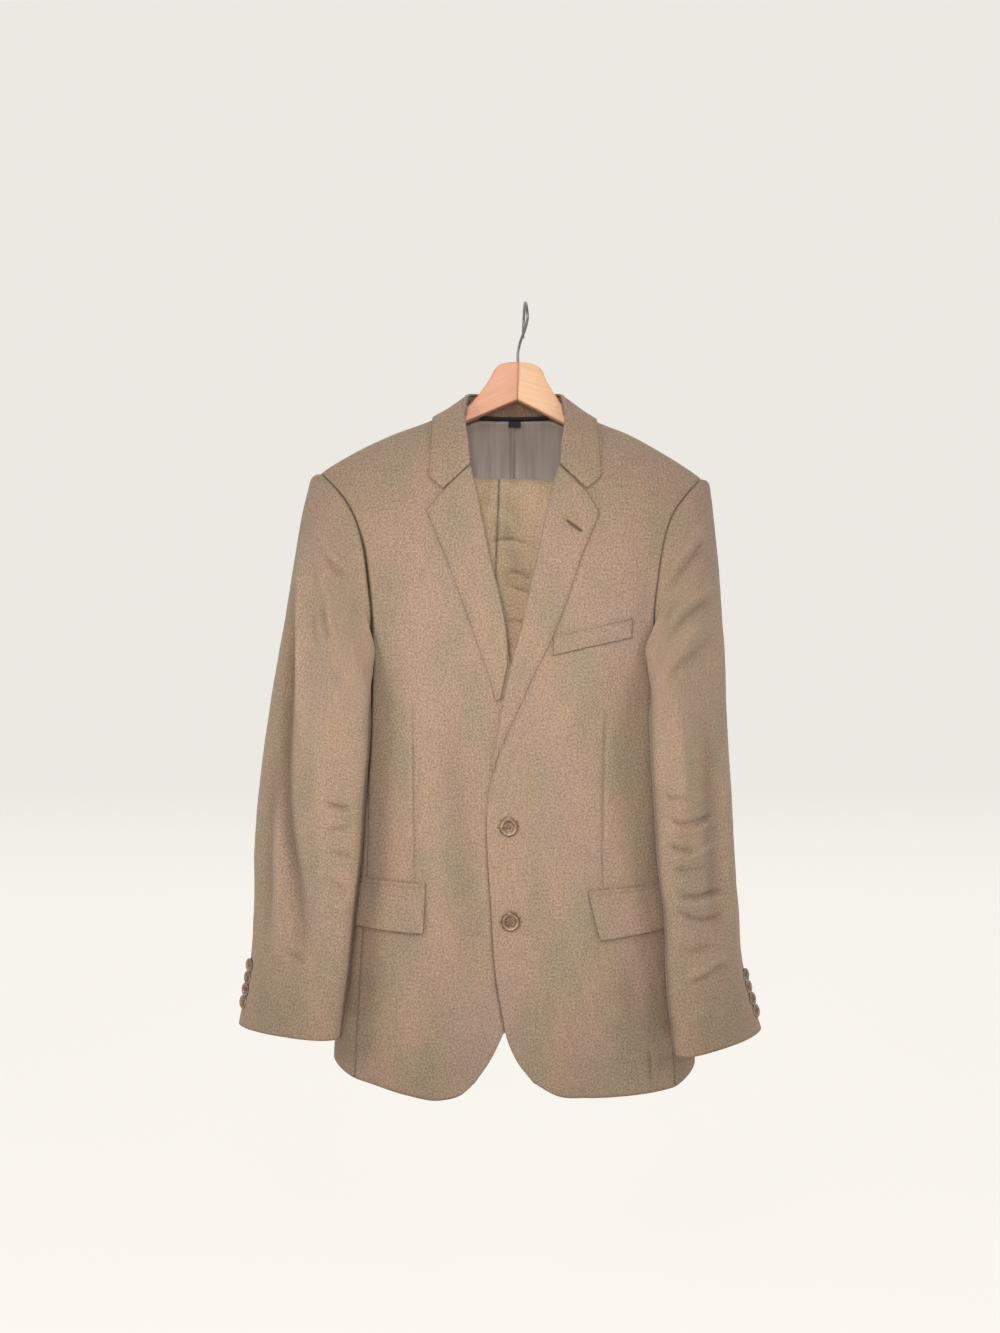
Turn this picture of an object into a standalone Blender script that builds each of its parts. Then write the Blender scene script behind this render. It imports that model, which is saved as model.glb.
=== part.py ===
"""Linen suit on a wooden hanger: a two-button jacket with its trousers folded over the hanger's bar.

Lengths are in millimetres here and become metres where a mesh is made. +Z is up, the suit faces -Y, and left and
right are as seen from the front. The origin is the hang point, the inner top of the hanger's hook.
"""

import math

import bmesh
import bpy
import numpy as np

MM = 0.001
WALL = 1.6
THIN = 1.0
SEAM = 0.15
BACK_TURN = 0.5
FRONT_TURN = 1.6
CREST_GAP = 0.45
GUARD = 1.35
ROOM = 5.0

CENTRE_X = -12.0
SEAM_XI = 0.86
SWING = 22.0
CREST = 110.0
LIFT = 3.2
ROLL = 2.6
SETBACK = 4.9
FRONT, BACK = -1.0, 1.0

# Horizontal sections of the jacket's body: height, half width, depth of the front, depth of the back.
BODY = (
    (-90, 246, 54, 46),
    (-200, 246, 56, 50),
    (-300, 232, 57, 52),
    (-410, 202, 56, 50),
    (-500, 194, 54, 48),
    (-620, 194, 51, 45),
    (-760, 204, 47, 42),
    (-900, 212, 42, 40),
)

# Shoulder line seen from the front, with the open neck bridged: x, z.
RIDGE = (
    (-270, -226), (-233, -193), (-197, -171), (-153, -150), (-105, -132), (-76, -117), (-40, -103), (-12, -100),
    (16, -103), (54, -119), (81, -134), (118, -149), (153, -168), (201, -199), (240, -232),
)

# Armhole loops: angle round the loop, x, z. The loop runs from the shoulder down the front, under the arm at the
# side body from 180 to 230 degrees, and up the back.
ARMHOLE = {
    "left": (
        (0, -233, -193), (25, -207, -220), (50, -190, -247), (75, -180, -281), (100, -175, -322), (130, -172, -362),
        (157, -177, -391), (180, -185, -405), (205, -205, -412), (230, -187, -404), (262, -184, -362),
        (300, -193, -290), (340, -215, -222), (360, -233, -193),
    ),
    "right": (
        (0, 201, -199), (25, 177, -225), (50, 161, -249), (75, 152, -279), (100, 146, -321), (130, 143, -362),
        (157, 150, -391), (180, 162, -405), (205, 182, -412), (230, 162, -404), (262, 160, -362),
        (300, 166, -290), (340, 186, -226), (360, 201, -199),
    ),
}
ARM_FRONT, ARM_BACK = 180.0, 230.0

# Sleeve sections below the armhole: outer x, outer z, inner x, inner z, outer y, inner y, front depth, back depth,
# share of the oval against the armhole's own form, and how far that form moves out and down.
SLEEVE = {
    "left": (
        (-246, -202, -198, -414, 0, -14, 40, 42, 0.10, 8, 3),
        (-256, -248, -186, -420, 0, -28, 40, 41, 0.35, 13, 9),
        (-264, -292, -176, -430, 1, -40, 39, 38, 0.58, 17, 17),
        (-271, -340, -171, -442, 1, -52, 37, 34, 0.82, 20, 26),
        (-281, -395, -171, -462, 2, -57, 34, 32, 1, 0, 0),
        (-292, -460, -172, -502, 2, -58, 33, 32, 1, 0, 0),
        (-303, -540, -177, -562, 3, -57, 33, 32, 1, 0, 0),
        (-309, -614, -181, -624, 3, -56, 32, 32, 1, 0, 0),
        (-310, -685, -189, -687, 3, -54, 31, 31, 1, 0, 0),
        (-314, -752, -195, -752, 2, -54, 31, 31, 1, 0, 0),
        (-326, -819, -203, -821, 0, -55, 31, 31, 1, 0, 0),
    ),
    "right": (
        (213, -209, 175, -414, 0, -16, 40, 42, 0.10, 7, 3),
        (217, -252, 160, -420, 0, -34, 40, 41, 0.35, 11, 9),
        (221, -296, 144, -430, 1, -48, 39, 38, 0.58, 13, 17),
        (225, -342, 137, -442, 1, -60, 37, 34, 0.82, 14, 26),
        (228, -396, 136, -462, 2, -65, 34, 32, 1, 0, 0),
        (230, -460, 136, -502, 2, -66, 33, 32, 1, 0, 0),
        (234, -545, 139, -566, 2, -65, 33, 32, 1, 0, 0),
        (239, -625, 144, -632, 2, -64, 33, 32, 1, 0, 0),
        (244, -692, 151, -692, 2, -63, 33, 32, 1, 0, 0),
        (249, -755, 153, -758, 2, -62, 33, 32, 1, 0, 0),
        (269, -824, 161, -838, 0, -62, 33, 32, 1, 0, 0),
    ),
}

# Neck seam, from the gorge over the shoulder line to the centre back: x, z.
NECK_FRONT = {
    "left": ((-76, -117), (-73.5, -130), (-71, -145), (-67, -171), (-63.5, -193)),
    "right": ((54, -119), (50, -131), (47, -145), (43, -171), (38.5, -193)),
}
NECK_BACK = {
    "left": ((-12, -124), (-42, -123), (-64, -120.5), (-76, -117)),
    "right": ((-12, -124), (18, -123), (41, -121), (54, -119)),
}

# Centre edge of each front below its roll: x, z.
FRONT_EDGE = {
    "left": (
        (-11, -440), (-3, -475), (1, -530), (1, -600), (0, -680), (-7, -758), (-16, -800), (-26, -822), (-39, -849),
        (-56, -874),
    ),
    "right": (
        (-42, -560), (-43, -605), (-41, -642), (-38, -683), (-36, -725), (-32, -764), (-26, -799), (-21, -824),
        (-9, -851), (8, -873),
    ),
}
ROLL_ROWS = {"left": 5, "right": 10}
HEM = {
    "left": ((-56, -874), (-73, -889), (-96, -895), (-133, -891), (-176, -882), (-194, -880)),
    "right": ((8, -873), (37, -889), (70, -892), (110, -892), (150, -891), (170, -890)),
}
SIDE_HEM = {"left": -880, "right": -890}
BACK_HEM = -846

# Lapels: roll line, then the edge from the tip to the foot: x, z.
ROLL_LINE = {
    "left": ((-60.5, -193), (-52, -232), (-43, -275), (-35, -311), (-26, -348), (-21, -380), (-20, -408), (-28, -450)),
    "right": (
        (36, -193), (30, -211), (22, -243), (14, -283), (7, -315), (1, -339), (-4, -365), (-17, -414), (-26, -459),
        (-32, -496), (-38, -528),
    ),
}
LAPEL_TOP = {
    "left": ((-60.5, -193), (-91, -221), (-110, -242)),
    "right": ((36, -193), (66, -222), (81, -245)),
}
LAPEL_EDGE = {
    "left": ((-110, -242), (-89, -292), (-64, -359), (-49, -401), (-43, -418), (-37, -438), (-33, -452)),
    "right": (
        (81, -245), (61, -293), (44, -343), (28, -384), (7, -426), (-13, -471), (-25, -496), (-34, -522), (-35, -529),
    ),
}

# Collar, left half from the gorge to the centre back: fold x, y, z, then edge x, y, z.
COLLAR = (
    (-61.5, -57, -192, -107, -47, -206),
    (-63.0, -54, -172, -106.5, -44, -190),
    (-66.5, -44, -145, -105.5, -37, -165),
    (-68.0, -26, -123, -105, -22, -147),
    (-67.5, -8, -107, -104, 0, -132),
    (-64.5, 8, -100, -98, 22, -131),
    (-53.0, 21, -97, -82, 36, -136),
    (-34.0, 29, -96, -50, 42, -139),
    (-12.0, 31, -95.5, -12, 43, -140),
)
COLLAR_END = ((-61.5, -192), (-91, -219.5), (-107, -206))
BUTTON_PITCH = 14.0
CUFF_BUTTON_START = {"left": 26.0, "right": 22.0}

HANGER_X = -8.0
HANGER_PIVOT_Z = -90.0
HANGER_TILT = math.radians(2.0)
HANGER_DEPTH = 13.0
# One arm of the hanger from the hump's top to the underside's centre: distance from the centre, z.
HANGER_TOP = (
    (0, -66.4), (12, -67.3), (22, -70.5), (27.5, -76), (31, -84), (36, -92.5), (43, -103), (56, -118.2),
    (68, -126.5), (97, -142), (130, -155), (161, -169), (182, -181), (193, -190), (197, -200),
)
HANGER_FOOT = ((194, -212), (183, -221), (172, -215), (163, -199), (140, -180), (97, -157.5), (58, -137), (0, -109.6))
BAR_Z = -211.0
BAR_RADIUS = 5.5
BAR_HALF = 178.0

HOOK_WIRE = 1.6
HOOK_LOOP = 20.0
HOOK_TABLE = (
    (-8, 0, -65.8), (-8, 0, -54), (-6.2, -2.5, -46), (-3.5, -8, -39), (0, -14.5, -31.5), (2.2, -19, -23),
)

TROUSER_SEAM_X = -26.0
# Folded legs along their length: share of the length, width towards each crease, from the front hem to the waist.
LEG_WIDTHS = (
    (0.0, 98, 98), (0.25, 104, 103), (0.5, 112, 108), (0.72, 130, 112), (0.86, 144, 112), (1.0, 112, 106),
)
LEG_FRONT = 530.0
LEG_BACK = 492.0
LEG_PLY = 2.6
LEG_GAP = 0.35
WAISTBAND = 38.0


def spline(knots, values, at):
    """Smooth curve through table rows: a value, or a row of values, for each knot."""
    knots = np.asarray(knots, float)
    values = np.asarray(values, float)
    at = np.clip(np.asarray(at, float), knots[0], knots[-1])
    step = np.diff(knots)
    shape = (-1,) + (1,) * (values.ndim - 1)
    slope = np.diff(values, axis=0) / step.reshape(shape)
    tangent = np.empty_like(values)
    tangent[0], tangent[-1] = slope[0], slope[-1]
    ahead, behind = step[1:].reshape(shape), step[:-1].reshape(shape)
    tangent[1:-1] = (slope[:-1] * ahead + slope[1:] * behind) / (ahead + behind)
    i = np.clip(np.searchsorted(knots, at, side="right") - 1, 0, len(knots) - 2)
    spread = at.shape + (1,) * (values.ndim - 1)
    h = step[i].reshape(spread)
    t = ((at - knots[i]) / step[i]).reshape(spread)
    return (
        (2 * t**3 - 3 * t**2 + 1) * values[i]
        + (t**3 - 2 * t**2 + t) * h * tangent[i]
        + (3 * t**2 - 2 * t**3) * values[i + 1]
        + (t**3 - t**2) * h * tangent[i + 1]
    )


def arc_knots(table):
    """Share of the length at each row of a table of points."""
    points = np.asarray(table, float)
    lengths = np.linalg.norm(np.diff(points, axis=0), axis=1)
    return np.concatenate([[0.0], np.cumsum(lengths)]) / lengths.sum()


def along(table, t):
    """Point at a share of a smooth curve through a table."""
    return spline(arc_knots(table), table, t)


def along_straight(table, t):
    """Point at a share of the straight runs between a table's points."""
    points = np.asarray(table, float)
    knots = arc_knots(table)
    return np.stack([np.interp(t, knots, points[:, k]) for k in range(points.shape[1])], axis=-1)


def smoothstep(value):
    """0 below 0, 1 above 1, and a soft step between."""
    value = np.clip(value, 0.0, 1.0)
    return value * value * (3 - 2 * value)


def body_row(z):
    """Half width, front depth and back depth of the body at a height."""
    rows = np.asarray(BODY, float)
    return np.moveaxis(spline(-rows[:, 0], rows[:, 1:], -np.asarray(z, float)), -1, 0)


def ridge_z(x):
    """Height of the shoulder line."""
    rows = np.asarray(RIDGE, float)
    return spline(rows[:, 0], rows[:, 1], x)


def crest(x, z):
    """How far the body has filled out below the shoulder line, 0 to 1."""
    below = np.clip((ridge_z(x) - z) / CREST, 0.0, 1.0)
    return np.sqrt(1 - (1 - below) ** 2)


def body_y(x, z, face):
    """Depth of the jacket's outer surface, on its front or its back."""
    half, front, back = body_row(z)
    xi = np.clip(np.abs(x - CENTRE_X) / half, 0.0, 1.0)
    depth = np.where(face < 0, front, back)
    swing = SWING * smoothstep((-200 - z) / 200) * xi**4
    return swing + face * depth * (1 - xi**3) ** 0.55 * crest(x, z)


def side_point(sign, angle, z):
    """Point round the side of the body: 90 degrees is its front, 0 its side, -90 its back."""
    half, front, back = body_row(z)
    cosine = np.cos(np.radians(angle))
    sine = np.sin(np.radians(angle))
    x = CENTRE_X + sign * half * np.abs(cosine) ** (2 / 3)
    depth = np.where(sine > 0, front, back)
    swing = SWING * smoothstep((-200 - z) / 200) * np.abs(cosine) ** (8 / 3)
    y = swing - np.sign(sine) * depth * np.abs(sine) ** 1.1
    return np.stack([x, y, z + 0 * x], axis=-1)


def seam_angle():
    """Angle round the side at which the side body's seams lie."""
    return math.degrees(math.acos(SEAM_XI**1.5))


def seam_x(sign, z):
    """x of the side body's seams at a height."""
    return CENTRE_X + sign * SEAM_XI * body_row(z)[0]


def lift_right(x, z):
    """How far the right front stands off over the left one where they lap."""
    return LIFT * smoothstep((75 - x) / 60) * smoothstep((-330 - z) / 55)


def front_y(side, x, z):
    """Depth of a front's outer surface."""
    y = body_y(x, z, FRONT)
    return y - lift_right(x, z) if side == "right" else y


def armhole_xz(side, angle):
    """x and z of the armhole loop, with its seams on the side body's seams."""
    rows = np.asarray(ARMHOLE[side], float)
    return spline(rows[:, 0], rows[:, 1:], angle)


def armhole_point(side, angle):
    """Point of the armhole loop on the body's surface."""
    sign = -1.0 if side == "left" else 1.0
    angle = np.asarray(angle, float)
    plane = armhole_xz(side, angle)
    x, z = plane[..., 0], plane[..., 1]
    face = np.where(angle < (ARM_FRONT + ARM_BACK) / 2, FRONT, BACK)
    y = body_y(x, z, face)
    flat = np.stack([x, y, z], axis=-1)
    turn = seam_angle() * (1 - 2 * np.clip((angle - ARM_FRONT) / (ARM_BACK - ARM_FRONT), 0, 1))
    under = side_point(sign, turn, z)
    inside = (angle >= ARM_FRONT) & (angle <= ARM_BACK)
    return np.where(inside[..., None], under, flat)


def coons(top, bottom, left, right, u, v):
    """Patch between four edges, given as functions of a share, for each u across and v down."""
    u = np.asarray(u, float)
    v = np.asarray(v, float)
    t, b, l, r = top(u)[None], bottom(u)[None], left(v)[:, None], right(v)[:, None]
    cu, cv = u[None, :, None], v[:, None, None]
    edges = (1 - cv) * t + cv * b + (1 - cu) * l + cu * r
    corners = (
        (1 - cu) * (1 - cv) * left(np.zeros(1))[0]
        + cu * (1 - cv) * right(np.zeros(1))[0]
        + (1 - cu) * cv * left(np.ones(1))[0]
        + cu * cv * right(np.ones(1))[0]
    )
    return edges - corners


def with_y(plane, y):
    """Points from an x, z plane and their depths."""
    return np.stack([plane[..., 0], y, plane[..., 1]], axis=-1)


def inset(points, top=0.0, bottom=0.0, left=0.0, right=0.0):
    """Draw a grid's edge rows in towards their neighbours."""
    points = points.copy()

    def pull(edge, inner, amount):
        run = inner - edge
        return edge + run * (amount / np.linalg.norm(run, axis=-1, keepdims=True))

    if top:
        points[0] = pull(points[0], points[1], top)
    if bottom:
        points[-1] = pull(points[-1], points[-2], bottom)
    if left:
        points[:, 0] = pull(points[:, 0], points[:, 1], left)
    if right:
        points[:, -1] = pull(points[:, -1], points[:, -2], right)
    return points


def material(name, colour, roughness, metallic=0.0):
    """Principled material with its colour given as linear values."""
    made = bpy.data.materials.new(name)
    made.use_nodes = True
    shader = made.node_tree.nodes["Principled BSDF"]
    shader.inputs["Base Color"].default_value = (*colour, 1.0)
    shader.inputs["Roughness"].default_value = roughness
    shader.inputs["Metallic"].default_value = metallic
    return made


def collect(obj, finish):
    """Put an object in the suit's collection with its own material."""
    for holder in list(obj.users_collection):
        holder.objects.unlink(obj)
    SUIT.objects.link(obj)
    obj.data.materials.clear()
    obj.data.materials.append(material(obj.name, *finish))
    return obj


def sheet(name, points, centre, finish, thickness=WALL):
    """Cloth wall through a grid of points, its thickness towards the given centre."""
    rows, columns = points.shape[:2]
    mesh = bmesh.new()
    grid = [[mesh.verts.new(point * MM) for point in row] for row in points]
    for i in range(rows - 1):
        for j in range(columns - 1):
            mesh.faces.new((grid[i][j], grid[i][j + 1], grid[i + 1][j + 1], grid[i + 1][j]))
    mesh.normal_update()
    aim = np.asarray(centre, float) * MM
    outward = sum(face.normal.dot(face.calc_center_median() - type(face.normal)(aim)) * face.calc_area()
                  for face in mesh.faces)
    if outward < 0:
        bmesh.ops.reverse_faces(mesh, faces=mesh.faces)
    data = bpy.data.meshes.new(name)
    mesh.to_mesh(data)
    mesh.free()
    data.shade_smooth()
    obj = bpy.data.objects.new(name, data)
    wall = obj.modifiers.new("wall", "SOLIDIFY")
    wall.thickness = thickness * MM
    wall.offset = -1.0
    return collect(obj, finish)


LINEN = ((0.42, 0.32, 0.23), 0.9)
SATIN = ((0.34, 0.29, 0.26), 0.45)
DARK = ((0.02, 0.018, 0.02), 0.7)
HORN = ((0.17, 0.11, 0.07), 0.4)
WOOD = ((0.82, 0.42, 0.24), 0.5)
STEEL = ((0.7, 0.7, 0.7), 0.25, 1.0)
BODY_CORE = {"left": (-60, 0, -480), "right": (40, 0, -480)}


def body_rows(count):
    """Shares down a front or back: close together over the shoulder's turn, then even."""
    return np.concatenate([(0, 0.0012, 0.005, 0.012, 0.024, 0.042), np.linspace(0.066, 1, count)])


def front_centre_edge(side, v):
    """Centre edge of a front: the neck seam, then the roll line's set-back and the front edge."""
    out = -1.0 if side == "left" else 1.0
    roll = tuple((x + out * SETBACK, z) for x, z in ROLL_LINE[side][:ROLL_ROWS[side]])
    return along(NECK_FRONT[side][:-1] + roll + FRONT_EDGE[side], v)


def front_side_edge(side, v):
    """Side edge of a front: the armhole's front, then the seam with the side body."""
    sign = -1.0 if side == "left" else 1.0
    share = 0.33
    angle = ARM_FRONT * np.clip(v / share, 0, 1)
    arm = armhole_xz(side, angle)
    start = armhole_xz(side, np.array([ARM_FRONT]))[0, 1]
    z = start + (SIDE_HEM[side] - start) * np.clip((v - share) / (1 - share), 0, 1)
    seam = np.stack([seam_x(sign, z), z], axis=-1)
    return np.where((v < share)[:, None], arm, seam)


def front_plane(side, u, v):
    """Outline of a front, in the front view."""
    sign = -1.0 if side == "left" else 1.0
    neck = NECK_FRONT[side][0]
    shoulder = armhole_xz(side, np.zeros(1))[0]
    foot = HEM[side]
    hem_end = (seam_x(sign, SIDE_HEM[side]), SIDE_HEM[side])
    hem = foot[:-1] + (hem_end,)

    def top(share):
        x = neck[0] + (shoulder[0] - neck[0]) * share
        return np.stack([x, ridge_z(x)], axis=-1)

    return coons(
        top, lambda t: along(hem, t), lambda t: front_centre_edge(side, t), lambda t: front_side_edge(side, t), u, v
    )


def jacket_fronts():
    """The two fronts, each from the roll line and front edge to the armhole and side seam."""
    for side in ("left", "right"):
        plane = front_plane(side, np.linspace(0, 1, 11), body_rows(20))
        points = with_y(plane, front_y(side, plane[..., 0], plane[..., 1]))
        sheet(f"front_{side}", inset(points, top=CREST_GAP, right=SEAM), BODY_CORE[side], LINEN)


def side_bodies():
    """Side bodies, from the front seam round under the arm to the back seam."""
    for side, sign in (("left", -1.0), ("right", 1.0)):
        share = np.linspace(0, 1, 7)
        turn = seam_angle() * (1 - 2 * share)
        top = armhole_xz(side, ARM_FRONT + (ARM_BACK - ARM_FRONT) * share)[:, 1]
        hem = SIDE_HEM[side] + (BACK_HEM - SIDE_HEM[side]) * share
        down = np.linspace(0, 1, 13)[:, None]
        z = top + (hem - top) * down
        points = side_point(sign, turn[None, :] + 0 * z, z)
        centre = (CENTRE_X + sign * 120, 0, -650)
        sheet(f"side_{side}", inset(points, top=SEAM, left=3 * SEAM, right=3 * SEAM), centre, LINEN)


def back_plane(side, u, v):
    """Outline of a back, in the front view."""
    sign = -1.0 if side == "left" else 1.0
    neck = NECK_BACK[side]
    shoulder = armhole_xz(side, np.zeros(1))[0]
    run = neck[-1][0] + (shoulder[0] - neck[-1][0]) * np.linspace(0.2, 1, 5)
    head = np.array(neck + tuple((x, float(ridge_z(x))) for x in run))
    seam_start = armhole_xz(side, np.array([ARM_BACK]))[0, 1]
    share = 0.3

    def top(t):
        return along_straight(head, t)

    def side_edge(t):
        arm = armhole_xz(side, 360 + (ARM_BACK - 360) * np.clip(t / share, 0, 1))
        z = seam_start + (BACK_HEM - seam_start) * np.clip((t - share) / (1 - share), 0, 1)
        seam = np.stack([seam_x(sign, z), z], axis=-1)
        return np.where((t < share)[:, None], arm, seam)

    def centre(t):
        z = neck[0][1] + (BACK_HEM - neck[0][1]) * t
        return np.stack([CENTRE_X + 0 * z, z], axis=-1)

    def hem(t):
        x = CENTRE_X + (seam_x(sign, BACK_HEM) - CENTRE_X) * t
        return np.stack([x, BACK_HEM + 0 * x], axis=-1)

    return coons(top, hem, centre, side_edge, u, v), arc_knots(head)[len(neck) - 1]


def jacket_backs():
    """The two backs, joined at the centre back seam."""
    for side in ("left", "right"):
        corner = back_plane(side, np.zeros(1), np.zeros(1))[1]
        u = np.concatenate([np.linspace(0, corner, 4), np.linspace(corner, 1, 7)[1:]])
        plane = back_plane(side, u, body_rows(14))[0]
        points = with_y(plane, body_y(plane[..., 0], plane[..., 1], BACK))
        points = inset(points, left=SEAM, right=SEAM)
        crest_line = points[:, 3:]
        points[:, 3:] = inset(crest_line, top=CREST_GAP)
        sheet(f"back_{side}", points, BODY_CORE[side], LINEN)


def sleeve_rings(side):
    """Function of the angles round a sleeve that gives its rings, the armhole first, and their knots."""
    rows = np.asarray(SLEEVE[side], float)
    sign = -1.0 if side == "left" else 1.0
    outer = np.stack([rows[:, 0], rows[:, 4], rows[:, 1]], axis=-1)
    inner = np.stack([rows[:, 2], rows[:, 5], rows[:, 3]], axis=-1)
    middle, reach = (outer + inner) / 2, (outer - inner) / 2
    knots = [0.0, 12.0]
    for step in np.linalg.norm(np.diff(middle, axis=0), axis=1):
        knots.append(knots[-1] + step)

    def rings(angles):
        turn = np.radians(angles)
        cosine = np.sign(np.cos(turn)) * np.abs(np.cos(turn)) ** 0.86
        sine = np.sign(np.sin(turn)) * np.abs(np.sin(turn)) ** 0.86
        oval = middle[:, None] + reach[:, None] * cosine[None, :, None]
        depth = np.where(sine > 0, rows[:, 6, None], rows[:, 7, None])
        oval[..., 1] -= depth * sine[None, :]
        loop = armhole_point(side, np.asarray(angles) % 360)
        away = np.stack([sign * rows[:, 9], 0 * rows[:, 9], -rows[:, 10]], axis=-1)
        moved = loop[None] + away[:, None] * np.array([1.0, 1.0, 0.0]) * (0.65 + 0.35 * np.cos(turn))[None, :, None]
        moved += away[:, None] * np.array([0.0, 0.0, 1.0]) * (1 - 0.4 * np.cos(turn))[None, :, None]
        share = rows[:, 8, None, None]
        return np.concatenate([loop[None], moved * (1 - share) + oval * share])

    return rings, np.asarray(knots) / knots[-1]


def clear_of_torso(points, room):
    """Push points out of the jacket's body until they stand clear of its sides."""
    points = points.copy()
    for _ in range(4):
        x, y, z = points[..., 0], points[..., 1], points[..., 2]
        half, front, back = body_row(z)
        xi = np.clip((x - CENTRE_X) / half, -1.3, 1.3)
        swing = SWING * smoothstep((-200 - z) / 200) * np.minimum(np.abs(xi), 1.0) ** 4
        depth = np.where(y < swing, front, back)
        eta = (y - swing) / depth
        level = np.abs(xi) ** 3 + np.abs(eta) ** 1.82
        way_x = 3 * xi**2 * np.sign(xi) / half
        way_y = 1.82 * np.abs(eta) ** 0.82 * np.sign(eta) / depth
        size = np.maximum(np.hypot(way_x, way_y), 1e-4)
        short = np.maximum(room - (level - 1) / size, 0.0) * smoothstep((-388 - z) / 14)
        points[..., 0] += short * way_x / size
        points[..., 1] += short * way_y / size
    return points


def sleeve_surface(side, along_sleeve, angles):
    """Points of a sleeve: a row for each share of its length, with an angle at each column of that row."""
    rings, knots = sleeve_rings(side)
    surface = np.empty(angles.shape + (3,))
    for i, share in enumerate(along_sleeve):
        surface[i] = spline(knots, rings(angles[i]), np.array([share]))[0]
    room = ROOM * (0.28 + 0.72 * smoothstep(np.asarray(along_sleeve) / 0.022)[:, None])
    return clear_of_torso(surface, room)


def sleeve_seams(along_sleeve):
    """Angles of the back seam and the front seam down a sleeve."""
    back_seam = -75 + 60 * smoothstep(along_sleeve * 1.4)
    front_seam = 168 + 2 * smoothstep(along_sleeve * 1.6)
    return back_seam, front_seam


BEHIND = np.array([1, 0.73, 0.48, 0.27, 0.13, 0.05])
BEFORE = np.array([0, 0.024, 0.06, 0.12, 0.2, 0.31, 0.44, 0.59, 0.74, 0.87, 1])
BELOW = np.array([0, 0.103, 0.174, 0.245, 0.316, 0.387, 0.459, 0.53, 0.7, 0.87, 1])
SLEEVE_ROWS = np.concatenate([(0, 0.035, 0.08, 0.12), np.linspace(0.17, 1, 13)])


def sleeves():
    """Top and under pieces of each sleeve."""
    back_seam, front_seam = sleeve_seams(SLEEVE_ROWS)
    for side in ("left", "right"):
        centre = (SLEEVE[side][5][0] * 0.5 + SLEEVE[side][5][2] * 0.5, -25, -560)
        angles = np.concatenate([back_seam[:, None] * BEHIND, front_seam[:, None] * BEFORE], axis=1)
        points = sleeve_surface(side, SLEEVE_ROWS, angles)
        sheet(f"top_sleeve_{side}", inset(points, top=GUARD, left=BACK_TURN, right=FRONT_TURN), centre, LINEN)
        angles = front_seam[:, None] * (1 - BELOW) + (back_seam[:, None] + 360) * BELOW
        points = sleeve_surface(side, SLEEVE_ROWS, angles)
        sheet(f"under_sleeve_{side}", inset(points, top=GUARD, left=FRONT_TURN, right=BACK_TURN), centre, LINEN, THIN)


def lapel_points(side, columns, rows):
    """Grid of a lapel: its roll round the front's edge, then its face out to its own edge."""
    out = -1.0 if side == "left" else 1.0
    v = np.linspace(0, 1, rows)
    u = np.linspace(0, 1, columns)
    roll, edge, head = ROLL_LINE[side], LAPEL_EDGE[side], LAPEL_TOP[side]
    foot = (roll[-1], edge[-1])
    plane = coons(
        lambda t: along_straight(head, t), lambda t: along_straight(foot, t), lambda t: along(roll, t),
        lambda t: along(edge, t), u, v,
    )
    start = plane[:, 0].copy()
    room = np.abs(plane[:, -1, 0] - start[:, 0])
    radius = np.minimum(ROLL, room * 0.45)[:, None]
    begin = 90 - 110 * smoothstep((-335 - start[:, 1]) / 40) if side == "left" else 90 + 0 * start[:, 1]
    turn = np.radians(begin[:, None] + (-90 - begin[:, None]) * np.linspace(0, 1, 5))
    x = start[:, :1] + out * radius * (1 - np.cos(turn))
    z = start[:, 1:] + 0 * x
    base = front_y(side, x, z)
    y = base + 1.6 - radius * (1 - np.sin(turn))
    bend = np.stack([x, y, z], axis=-1)
    face = plane[:, 1:].copy()
    face[..., 0] += out * radius * (1 - u[None, 1:]) * 1.0
    rise = (2 * radius - 1.6) * (1 - u[None, 1:]) ** 2 + 2.3 * (1 - (1 - u[None, 1:]) ** 2)
    face_y = front_y(side, face[..., 0], face[..., 1]) - rise
    return np.concatenate([bend, with_y(face, face_y)], axis=1)


def lapels():
    """Turned-back lapels on the fronts."""
    for side, rows in (("left", 14), ("right", 17)):
        points = lapel_points(side, 6, rows)
        centre = (BODY_CORE[side][0], 300, -330)
        sheet(f"lapel_{side}", inset(points, top=2.7), centre, LINEN, 1.3)


def body_distance(points):
    """Distance outside the body's surface, and the way out in y and z."""
    x, y, z = points[..., 0], points[..., 1], points[..., 2]
    half, front, back = body_row(z)
    xi = np.clip(np.abs(x - CENTRE_X) / half, 0.0, 1.0)
    swing = SWING * smoothstep((-200 - z) / 200) * xi**4
    depth = np.where(y < swing, front, back) * (1 - xi**3) ** 0.55
    rise = np.maximum(1 - (ridge_z(x) - z) / CREST, 0.0)
    out = (y - swing) / depth
    r = np.sqrt(rise**2 + out**2)
    gy, gz = out / (r * depth), rise / (r * CREST)
    size = np.sqrt(gy**2 + gz**2)
    return (r - 1) / size, gy / size, gz / size


def moved_out(points, distance):
    """Points moved along y and z until they lie at a distance outside the body."""
    points = points.copy()
    for _ in range(4):
        now, way_y, way_z = body_distance(points)
        points[..., 1] += (distance - now) * way_y
        points[..., 2] += (distance - now) * way_z
    return points


def mirrored(table, columns):
    """A half table with its mirror image after it, its last row shared."""
    rows = [tuple(row) for row in table]
    other = []
    for row in rows[-2::-1]:
        flipped = list(row)
        for k in columns:
            flipped[k] = 2 * CENTRE_X - flipped[k]
        other.append(tuple(flipped))
    return np.asarray(rows + other, float)


def collar_lines(share):
    """Fold line and edge of the collar at shares of its length."""
    table = mirrored(COLLAR, (0, 3))
    knots = arc_knots(table[:, :3])
    both = spline(knots, table, share)
    return both[:, :3], both[:, 3:]


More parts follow.
